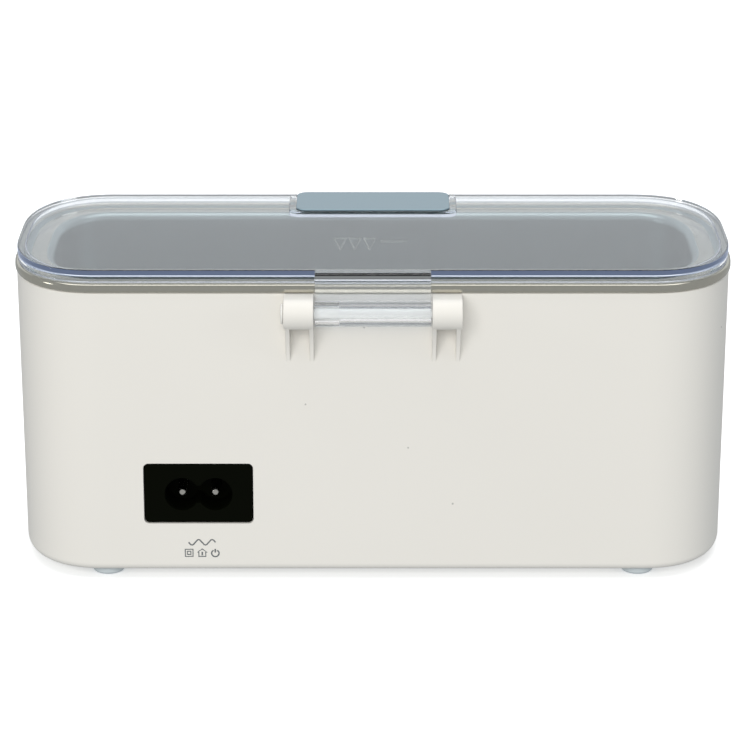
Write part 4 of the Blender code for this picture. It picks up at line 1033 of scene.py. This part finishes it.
# ------------------------------------------------------------------ transformer
# Two E-shaped ferrite halves round a black bobbin.  The winding is wrapped in yellow tape and stands on
# the bobbin's foot, whose pins go through the board.
CORE_X = 4.0
CORE_Y = -10.5
core_low = SEATED + 1.5
core_high = core_low + 13.0
core_mesh = slab((CORE_X - 11, CORE_Y - 3, core_low), (CORE_X + 11, CORE_Y + 3, core_high), 0.5, 0.3, 3)
core = set_down("ferrite_frame", core_mesh)
for side in (-1, 1):
    near, far = sorted((CORE_X + side * 3.2, CORE_X + side * 8.4))
    cut(core, slab((near, CORE_Y - 5, core_low + 2.6), (far, CORE_Y + 5, core_high - 2.6)))
for x in (CORE_X - 10, CORE_X + 10):
    cut(core, slab((x - 2, CORE_Y - 4, core_low + 6.47), (x + 2, CORE_Y + 4, core_low + 6.53)))
fit(core, "base", "ferrite", "transformer_core", finish=ferrite)

tape_low = (CORE_X - 7.6, CORE_Y - 7.3, core_low + 3)
tape_high = (CORE_X + 7.6, CORE_Y + 7.3, core_high - 3)
wrap = set_down("wrapped_winding", slab(tape_low, tape_high, 2.2, 0.2, 6))
for height in (core_low + 2.66, core_high - 3.04):
    flange_high = (CORE_X + 8.1, CORE_Y + 7.6, height + 0.38)
    flange = slab((CORE_X - 8.1, CORE_Y - 7.6, height), flange_high, 1.2, 0.08)
    cut(wrap, flange, "UNION")
for side in (-1, 1):
    low_y, high_y = sorted((CORE_Y + side * 3.4, CORE_Y + side * 6.6))
    cut(wrap, slab((CORE_X - 6, low_y, SEATED + 0.8), (CORE_X + 6, high_y, core_low + 2.9), 0.3), "UNION")
bobbin_foot = slab((CORE_X - 9, CORE_Y - 7.4, SEATED), (CORE_X + 9, CORE_Y + 7.4, SEATED + 1.3), 0.5, 0.15)
cut(wrap, bobbin_foot, "UNION")
cut(wrap, slab((CORE_X - 3.4, CORE_Y - 3.2, core_low + 1), (CORE_X + 3.4, CORE_Y + 3.2, core_high), 0.3))
yellow_tape = plastic("yellow_tape", (0.62, 0.46, 0.06), 0.3, clouding=0.1, grain=500, depth=0.01)
fit(wrap, "base", "copper_wire", "transformer_winding", finish=[black_moulding, yellow_tape])


def taped(place):
    """Whether a point lies on the tape, outside the core's window."""
    outside = max(abs(place.x - CORE_X), abs(place.y - CORE_Y)) > 3.6
    return outside and core_low + 3.05 < place.z < core_high - 3.06


paint(wrap, 1, taped)

# ------------------------------------------------------------------ heat sink and power transistors
# A plain aluminium extrusion with six fins, and two transistors clamped flat against its back with
# a thin insulating pad.  Their tinned legs go down into the board.
sink = set_down("finned_sink", slab((-47, -9, SEATED), (-17, -6.5, 26), 0.2, 0.15))
for index in range(6):
    x = -46.6 + index * 5.6
    cut(sink, slab((x, -16.5, SEATED), (x + 1.2, -8, 26), 0.35, 0.15, 4), "UNION")
fit(sink, "base", "aluminium", "heat_sink", finish=aluminium)
for index, x in enumerate((-39, -25), 1):
    transistor_parts = [(0, slab((x - 5, -5.1, 15), (x + 5, -1.4, 24), 0.3, 0.25, 3))]
    transistor_parts.append((1, slab((x - 4.9, -6.3, 15.8), (x + 4.9, -5.0, 25.5), 0.1, 0.1)))
    transistor_parts.append((2, slab((x - 5.4, -6.5, 15), (x + 5.4, -6.28, 25.8), 0.05, 0.03)))
    for shift in (-2.54, 0, 2.54):
        leg_x = x + shift
        transistor_parts.append((1, slab((leg_x - 0.6, -3.6, 13.6), (leg_x + 0.6, -2.9, 15.2), 0.1)))
        leg = slab((leg_x - 0.38, -3.55, BOARD_TOP - 0.3), (leg_x + 0.38, -2.95, 13.8), 0.08)
        transistor_parts.append((1, leg))
    transistor = set_down(f"transistor_{index}", gathered(*transistor_parts))
    transistor_finish = [black_moulding, solder, silicone]
    fit(transistor, "base", "black_plastic", f"power_transistor_{index}", finish=transistor_finish)

# ------------------------------------------------------------------ mains inlet and its pins
# A black two-pin figure-of-eight inlet, snapped in from inside behind its wider shoulder.  The nickel
# pins are pressed through its floor and stick out behind as solder tails.
PIN_PITCH = 8.6
SOCKET_DEPTH = 9.0
wall_face = HALF_DEPTH - wall_inset(INLET_Z)
inlet_face = wall_face - 0.45
inlet_middle = (INLET_X, 0, INLET_Z)
lobe_z = INLET_Z - 0.3

half_width, half_height = INLET_WIDTH / 2 - 0.25, INLET_HEIGHT / 2 - 0.25
wall_inside = wall_face - WALL
face_low = (-half_width, -half_height, wall_inside - 0.6)
face_block = slab(face_low, (half_width, half_height, inlet_face), 1.1, 0.2)
inlet = set_down("inlet_moulding", upright(face_block, inlet_middle))
shoulder = slab((-15.6, -8.2, wall_inside - 2), (15.6, 8.2, wall_inside - 0.35), 1.0, 0.15)
socket_box = slab((-11, -6.6, inlet_face - SOCKET_DEPTH - 3), (11, 6.6, wall_inside - 1), 2.0, 0.4)
for block in (shoulder, socket_box):
    cut(inlet, upright(block, inlet_middle), "UNION")
for side in (-1, 1):
    lobe_place = (INLET_X + side * PIN_PITCH / 2, 0, lobe_z)
    cut(inlet, rod(4.4, inlet_face - SOCKET_DEPTH, inlet_face + 2, 56, lobe_place, "Y"))
waist = slab((-PIN_PITCH / 2, -2.3, inlet_face - SOCKET_DEPTH), (PIN_PITCH / 2, 2.3, inlet_face + 2))
cut(inlet, upright(waist, (INLET_X, 0, lobe_z)))
for side in (-1, 1):
    lobe_place = (INLET_X + side * PIN_PITCH / 2, 0, lobe_z)
    cut(inlet, rod(1.4, inlet_face - SOCKET_DEPTH - 5, inlet_face - 4, 28, lobe_place, "Y"))
soften(inlet, (30, inlet_face - 0.1, 10), (60, inlet_face + 0.05, 36), 0.25)
inlet_black = (0.0022, 0.0027, 0.0012)
black_inlet = plastic("black_inlet", inlet_black, 0.42, clouding=0.2, grain=2400, depth=0.015, gloss=0.03)
fit(inlet, "base", "black_plastic", "inlet_body", finish=black_inlet)

tip = inlet_face - 1.2
tail = inlet_face - SOCKET_DEPTH - 6.5
pin_profile = [(0, tail), (1.0, tail), (1.18, tail + 0.2), (1.18, tip - 1.3), (1.12, tip - 0.85)]
pin_profile += [(0.95, tip - 0.45), (0.7, tip - 0.18), (0.38, tip - 0.03), (0, tip)]
pin_tails = []
for index, side in enumerate((-1, 1), 1):
    place = (INLET_X + side * PIN_PITCH / 2, 0, lobe_z)
    inlet_pin = set_down(f"contact_pin_{index}", turned(pin_profile, 32, place, "Y"))
    fit(inlet_pin, "base", "nickel_plate", f"inlet_pin_{index}", finish=nickel)
    pin_tails.append(Vector((place[0], tail, lobe_z)))

# ------------------------------------------------------------------ push button
# A dished satin cap in a frosted ring that two small lamps light from behind.  The ring is glued into
# the front wall; the cap is kept in by its flange.
BUTTON_RADIUS = 7.0
button_place = (0, front_wall, BUTTON_Z)
ring_in = BUTTON_RADIUS + 0.35
ring_profile = [(ring_in + 0.25, -0.3), (RING_RADIUS - 0.55, -0.3), (RING_RADIUS - 0.15, -0.15)]
ring_profile += [(RING_RADIUS, 0.15), (RING_RADIUS, 1.1), (RING_RADIUS - 1.25, 1.1)]
ring_profile += [(RING_RADIUS - 1.25, 2.9), (ring_in, 2.9), (ring_in, -0.1)]
light_ring = set_down("glow_ring", turned(ring_profile, 80, button_place, "Y", closed=True))
frosted = plastic("frosted", (0.62, 0.74, 0.80), 0.35, clouding=0.05, grain=2500, depth=0.01)
fit(light_ring, "base", "frosted_acrylic", "light_ring", finish=frosted)

dished_cap = [(0, -0.45), (2.5, -0.5), (4.8, -0.65), (5.8, -0.78), (6.3, -0.78), (6.75, -0.6), (7, -0.25)]
dished_cap += [(7, 3.2), (7.75, 3.2), (7.9, 3.35), (7.9, 3.9), (1.8, 3.9), (0, 3.9)]
standby = [mark(ring_points(0, 0, 2.1, 14, 125, 415), handles="AUTO"), mark([(0, 0.5), (0, 2.5)])]
symbol = gathered(*[(1, stroke) for stroke in standby])
symbol.transform(Matrix.Translation((0, front_wall - 0.5, BUTTON_Z)))
cap_mesh = gathered((0, turned(dished_cap, 72, button_place, "Y")), (1, symbol))
button_cap = set_down("press_cap", cap_mesh)
long_streaks = (40, 2600, 2600)
# The chrome's colour is its own metal tone plus a painted reflection: a blue-grey tint for mirrored
# surroundings.
satin_chrome = metal("satin_chrome", (0.335, 0.45, 0.51), 0.22, long_streaks, 0.04, 0.06, 0.001)
fit(button_cap, "button", "satin_chrome", "button_cap", finish=[satin_chrome, grey_ink])

plunger = [(0, 4.0), (1.4, 4.0), (1.6, 4.2), (1.6, 4.95), (1.45, 5.1), (0, 5.1)]
switch_plunger = set_down("plunger", turned(plunger, 32, button_place, "Y"))
fit(switch_plunger, "button", "black_plastic", "switch_plunger", finish=black_moulding)

# ------------------------------------------------------------------ switch, lamps and their board
# A tact switch with a pressed steel top and four folded legs, and two lamps with domed lenses, soldered
# to a small board that two screws hold on bosses behind the front wall.
switch_back = BUTTON_BOARD_IN - 0.1
switch_body = slab((-3, -3, 4.85), (3, 3, switch_back), 0.3, 0.12)
tact_switch = set_down("tact_switch_body", upright(switch_body, button_place))
top_mesh = slab((-2.95, -2.95, 4.55), (2.95, 2.95, 4.84), 0.4, 0.08)
switch_top = set_down("switch_top", upright(top_mesh, button_place))
for switch_part in (tact_switch, switch_top):
    cut(switch_part, rod(1.9, 4.0, 5.65, 36, button_place, "Y"))
leg_parts = []
for side_x in (-1, 1):
    for side_y in (-1, 1):
        leg_low, leg_high = sorted((side_x * 2.9, side_x * 3.9))
        leg_y = side_y * 2.2
        leg_parts.append((0, slab((leg_low, leg_y - 0.35, 5.6), (leg_high, leg_y + 0.35, 5.95), 0.08)))
switch_legs = set_down("switch_legs", upright(gathered(*leg_parts), button_place))
fit(tact_switch, "base", "black_plastic", "tact_switch", finish=black_moulding)
fit(switch_top, "base", "nickel_plate", finish=nickel)
fit(switch_legs, "base", "nickel_plate", finish=nickel)

small_board = slab((-18.5, -7, BUTTON_BOARD_IN), (18.5, 7, BUTTON_BOARD_IN + 1), 1.0, 0.1)
button_board = set_down("small_board", upright(small_board, button_place))
for side in (-1, 1):
    hole_place = (side * BUTTON_BOSS_X, front_wall, BUTTON_Z)
    cut(button_board, rod(1.0, BUTTON_BOARD_IN - 1, BUTTON_BOARD_IN + 2, 24, hole_place, "Y"))
fit(button_board, "base", "circuit_board", "button_board", finish=solder_mask)

board_back = front_wall + BUTTON_BOARD_IN + 1.0
for index, side in enumerate((-1, 1), 1):
    screw_mesh = screw(1.8, 0.9, 0.75, 4.2, 0.45)
    facing = Matrix.Rotation(math.pi / 2, 4, "X")
    screw_mesh.transform(Matrix.Translation((side * BUTTON_BOSS_X, board_back + 0.1, BUTTON_Z)) @ facing)
    board_holder = set_down(f"board_holder_{index}", screw_mesh)
    fit(board_holder, "base", "nickel_plate", f"button_screw_{index}", finish=nickel)
    lens_x = side * (RING_RADIUS - 1.4)
    lamp_parts = [(1, slab((lens_x - 0.9, -1.4, 5.3), (lens_x + 0.9, 1.4, switch_back), 0.2, 0.05))]
    dome = [(0, 4.8), (0.35, 4.84), (0.6, 4.97), (0.72, 5.15), (0.75, 5.35), (0, 5.35)]
    lamp_parts.append((0, turned(dome, 24, (lens_x, 0, 0), "Z")))
    lamp = set_down(f"lamp_lens_{index}", upright(gathered(*lamp_parts), button_place))
    fit(lamp, "base", "frosted_acrylic", f"lamp_{index}", finish=[frosted, ivory_nylon])

# ------------------------------------------------------------------ inner wires
# Stranded wires in soft insulation: black and red from the inlet's tails and from the transducer to
# their headers, and one round grey cable from the button's board.  Sleeves cover the soldered ends.
black_cover = plastic("black_insulation", (0.015, 0.015, 0.016), 0.42, clouding=0.1, grain=900, depth=0.02)
red_cover = plastic("red_insulation", (0.36, 0.012, 0.010), 0.42, clouding=0.1, grain=900, depth=0.02)
grey_cover = plastic("cable_grey", (0.60, 0.58, 0.52), 0.5, clouding=0.08, grain=900, depth=0.02)
shrink_black = plastic("shrink_black", (0.02, 0.02, 0.022), 0.6, clouding=0.1, grain=1500, depth=0.03)
live_route = [(49.4, tail - 0.1, lobe_z), (49.9, tail - 3, lobe_z), (51.2, 10.5, 22.2)]
live_route += [(51.6, 4.8, 20.8), (51.6, 4, 19.5), (51.6, 4, 17.2)]
neutral_route = [(40.8, tail - 0.1, lobe_z), (41.6, tail - 3, lobe_z), (45.8, 10.5, 22.6)]
neutral_route += [(48.2, 4.8, 20.8), (48.4, 4, 19.5), (48.4, 4, 17.2)]
red_route = [(-14, 8, disc_low - 0.5), (-14.8, 8, disc_low - 2.2), (-20, 9, 24.5), (-30, 9, 22.6)]
red_route += [(-40, 7.6, 22), (-46.6, 5.2, 21.4), (-48.4, 4, 19.5), (-48.4, 4, 17.2)]
black_route = [(-14, 1, disc_low - 0.5), (-14.8, 1.2, disc_low - 2.2), (-20, 2.4, 24.6), (-30, 2.8, 22.4)]
black_route += [(-40, 2.4, 21.4), (-46.5, 2.2, 21.6), (-51.6, 4, 20.4), (-51.6, 4, 17.2)]
cable_route = [(-11.9, board_back + 1.2, BUTTON_Z - 4.5), (-11.9, board_back + 1.4, 33)]
cable_route += [(-11.9, board_back + 2.2, 27), (-11.9, -21.5, 21.5), (-11.9, -16, 19.4), (-11.9, -16, 16.2)]
routes = [
    ("live_lead", "mains_wire_2", red_cover, "red_insulation", 0.75, live_route),
    ("neutral_lead", "mains_wire_1", black_cover, "black_insulation", 0.75, neutral_route),
    ("transducer_lead_red", "transducer_wire_1", red_cover, "red_insulation", 0.75, red_route),
    ("transducer_lead_black", "transducer_wire_2", black_cover, "black_insulation", 0.75, black_route),
    ("button_lead", "button_cable", grey_cover, "ivory_nylon", 1.1, cable_route),
]
for name, node, insulation, slot_name, radius, points in routes:
    parts = [(0, tube(points, radius, sides=4, detail=8))]
    start, onward = Vector(points[0]), Vector(points[1])
    if name in ("live_lead", "neutral_lead"):
        covered = [start + Vector((0, 1.6, 0)), start, start + (onward - start) * 0.6]
        parts.append((1, tube(covered, 1.34, sides=4)))
    if name == "button_lead":
        covered = [start + Vector((0, 0, 2.2)), start, start - Vector((0, 0, 2.4))]
        parts.append((1, tube(covered, 1.2, sides=4)))
        on_board = Matrix.Translation((0, board_back - 0.02, start.z + 3))
        on_board @= Matrix.Rotation(-math.pi / 2, 4, "X")
        for pad_x in (-1.2, 0, 1.2):
            dot = solder_dot(0.5, 0.5, (start.x + pad_x, 0, 0))
            dot.transform(on_board)
            parts.append((1, dot))
    wire = set_down(name, gathered(*parts))
    fit(wire, "base", slot_name, node, finish=[insulation, shrink_black])

# ------------------------------------------------------------------ lid
# One clear polycarbonate moulding: a flat plate with a downturned edge, a pad for the handle at the
# front, and at the back an arm that ends in the hinge barrel.  Its upright outer edge carries a painted
# glow, an emission that stands in for the light the edge gathers.
LID_UNDER = 82.1
LID_TOP = 83.9
LID_EDGE = 0.3
SKIRT = 2.0
BARREL_RADIUS = 3.3
BARREL_HALF = 14.7
HANDLE_HALF = 20.7
HANDLE_BACK = 18.4
PAD_HALF = 22.6

lid_profile = eased(
    [
        (LID_EDGE + SKIRT + 6, LID_UNDER, 0),
        (LID_EDGE + SKIRT, LID_UNDER, 0.5),
        (LID_EDGE + SKIRT, RIM_TOP + 0.2, 0.15),
        (LID_EDGE, RIM_TOP + 0.2, 0.2),
        (LID_EDGE, LID_UNDER, 0),
        (LID_EDGE, LID_TOP, 0.45),
        (LID_EDGE + 6, LID_TOP, 0),
    ],
    steps=5,
)
lid = set_down("lid_moulding", drawn_shell([tuple(p) for p in lid_profile], segments=34))
inner_y = HALF_DEPTH + HINGE_OUT - BARREL_RADIUS
outer_y = HALF_DEPTH + HINGE_OUT - 1.5
meet = math.degrees(math.acos(-1.5 / BARREL_RADIUS))
arm = [(HALF_DEPTH - 3, LID_TOP)] + arc((outer_y - 1.3, LID_TOP - 1.3), 1.3, 90, 0, 8)
arm += arc(ear_axis, BARREL_RADIUS, meet, -180, 40)
arm += arc((inner_y - 0.8, LID_UNDER - 0.8), 0.8, 0, 90, 5)
arm += [(HALF_DEPTH - 3, LID_UNDER)]
cut(lid, side_view(arm, -BARREL_HALF, BARREL_HALF, 0.25), "UNION")
lid_front = -HALF_DEPTH + LID_EDGE
pad_low = (-PAD_HALF, lid_front + 0.6, LID_UNDER - 0.9)
pad_high = (PAD_HALF, lid_front + HANDLE_BACK + 1.0, LID_TOP + 0.25)
cut(lid, slab(pad_low, pad_high, 2.8, 0.2), "UNION")
pocket_low = (-HANDLE_HALF - 0.25, lid_front - 2, LID_TOP - 0.3)
pocket_high = (HANDLE_HALF + 0.25, lid_front + HANDLE_BACK + 0.25, LID_TOP + 2)
cut(lid, slab(pocket_low, pocket_high, 3.2))
cut(lid, rod(1.5, -BARREL_HALF - 2, BARREL_HALF + 2, 32, (0, *ear_axis), "X"))
cut(lid, rod(1.95, BARREL_HALF - 6.2, BARREL_HALF + 2, 32, (0, *ear_axis), "X"))

clear, clear_tree, clear_shader = new_finish("clear_polycarbonate")
clear_shader.inputs["Base Color"].default_value = (0.985, 0.992, 1.0, 1)
clear_shader.inputs["Roughness"].default_value = 0.03
clear_shader.inputs["IOR"].default_value = 1.56
clear_shader.inputs["Transmission Weight"].default_value = 1
let_lamps_through = clear_tree.nodes.new("ShaderNodeMixShader")
pass_through = clear_tree.nodes.new("ShaderNodeBsdfTransparent")
pass_through.inputs["Color"].default_value = (0.93, 0.95, 0.97, 1)
ray_kind = clear_tree.nodes.new("ShaderNodeLightPath")
clear_out = clear_tree.nodes["Material Output"]
clear_tree.links.new(ray_kind.outputs["Is Shadow Ray"], let_lamps_through.inputs["Fac"])
clear_tree.links.new(clear_shader.outputs["BSDF"], let_lamps_through.inputs[1])
clear_tree.links.new(pass_through.outputs["BSDF"], let_lamps_through.inputs[2])
clear_tree.links.new(let_lamps_through.outputs["Shader"], clear_out.inputs["Surface"])
tint = clear_tree.nodes.new("ShaderNodeVolumeAbsorption")
tint.inputs["Color"].default_value = (0.20, 0.31, 0.52, 1)
tint.inputs["Density"].default_value = 30
clear_tree.links.new(tint.outputs["Volume"], clear_out.inputs["Volume"])
# Painted glow: emission on the lid's upright outer faces, bluish round the rim, grey on the arm, dim in
# front.
no_painted_glow, arm_painted_glow = (0, 0, 0, 1), (0.19, 0.20, 0.205, 1)
rim_painted_glow, front_painted_glow = (0.108, 0.142, 0.228, 1), (0.03, 0.04, 0.065, 1)
FRONT_FROM = -30
painted_edge_glow = lid.data.attributes.new("painted_edge_glow", "FLOAT_COLOR", "FACE")
for face in lid.data.polygons:
    out_x, out_y = abs(face.center.x) / MM, abs(face.center.y / MM - middle_y)
    outside = out_y > HALF_DEPTH - LID_EDGE - 0.3 or out_x > HALF_WIDTH - CORNER_X
    on_arm = face.center.y > 0 and out_x < BARREL_HALF + 0.1
    painted_glow_colour = arm_painted_glow if on_arm else rim_painted_glow
    if face.center.y / MM < FRONT_FROM:
        painted_glow_colour = front_painted_glow
    upright_face = abs(face.normal.z) < 0.5 and face.center.z / MM > LID_UNDER
    painted_edge_glow.data[face.index].color = painted_glow_colour if outside and upright_face else no_painted_glow
# The painted glow is read from each face and fed to the lid's emission.
painted_glow_source = clear_tree.nodes.new("ShaderNodeAttribute")
painted_glow_source.attribute_name = "painted_edge_glow"
clear_tree.links.new(painted_glow_source.outputs["Color"], clear_shader.inputs["Emission Color"])
clear_shader.inputs["Emission Strength"].default_value = 1
fit(lid, "lid", "clear_polycarbonate", "lid", finish=clear)

# ------------------------------------------------------------------ handle plate
# A satin chrome plate bonded into the pocket at the front of the lid, with a polished bevel round it.
plate_high = (HANDLE_HALF, lid_front + HANDLE_BACK, LID_TOP + 0.6)
plate_mesh = slab((-HANDLE_HALF, lid_front - 0.1, LID_TOP - 0.1), plate_high, 3.0, 0.25, 10)
handle_plate = set_down("handle_plate", plate_mesh)
fit(handle_plate, "lid", "satin_chrome", "lid_handle", finish=satin_chrome)

# ------------------------------------------------------------------ hinge pin
# A white nylon pin pushed through both ears and the lid's barrel, with a flat head at one end and a
# chamfer at the other to lead it in.
PIN_RADIUS = 1.25
pin_profile = [(0, -EAR_OUTER), (0.8, -EAR_OUTER), (PIN_RADIUS, -EAR_OUTER + 0.6)]
pin_profile += [(PIN_RADIUS, EAR_OUTER + 0.1), (2.5, EAR_OUTER + 0.1), (2.6, EAR_OUTER + 0.2)]
pin_profile += [(2.6, EAR_OUTER + 0.4), (2.45, EAR_OUTER + 0.6)]
pin_profile += [(2.15, EAR_OUTER + 0.7), (0, EAR_OUTER + 0.7)]
hinge_pin = set_down("nylon_pin", turned(pin_profile, 48, (0, *ear_axis), "X"))
white_nylon = plastic("white_nylon", (0.80, 0.79, 0.75), 0.4, clouding=0.04, grain=1500, depth=0.01)
fit(hinge_pin, "base", "ivory_nylon", "hinge_pin", finish=white_nylon)
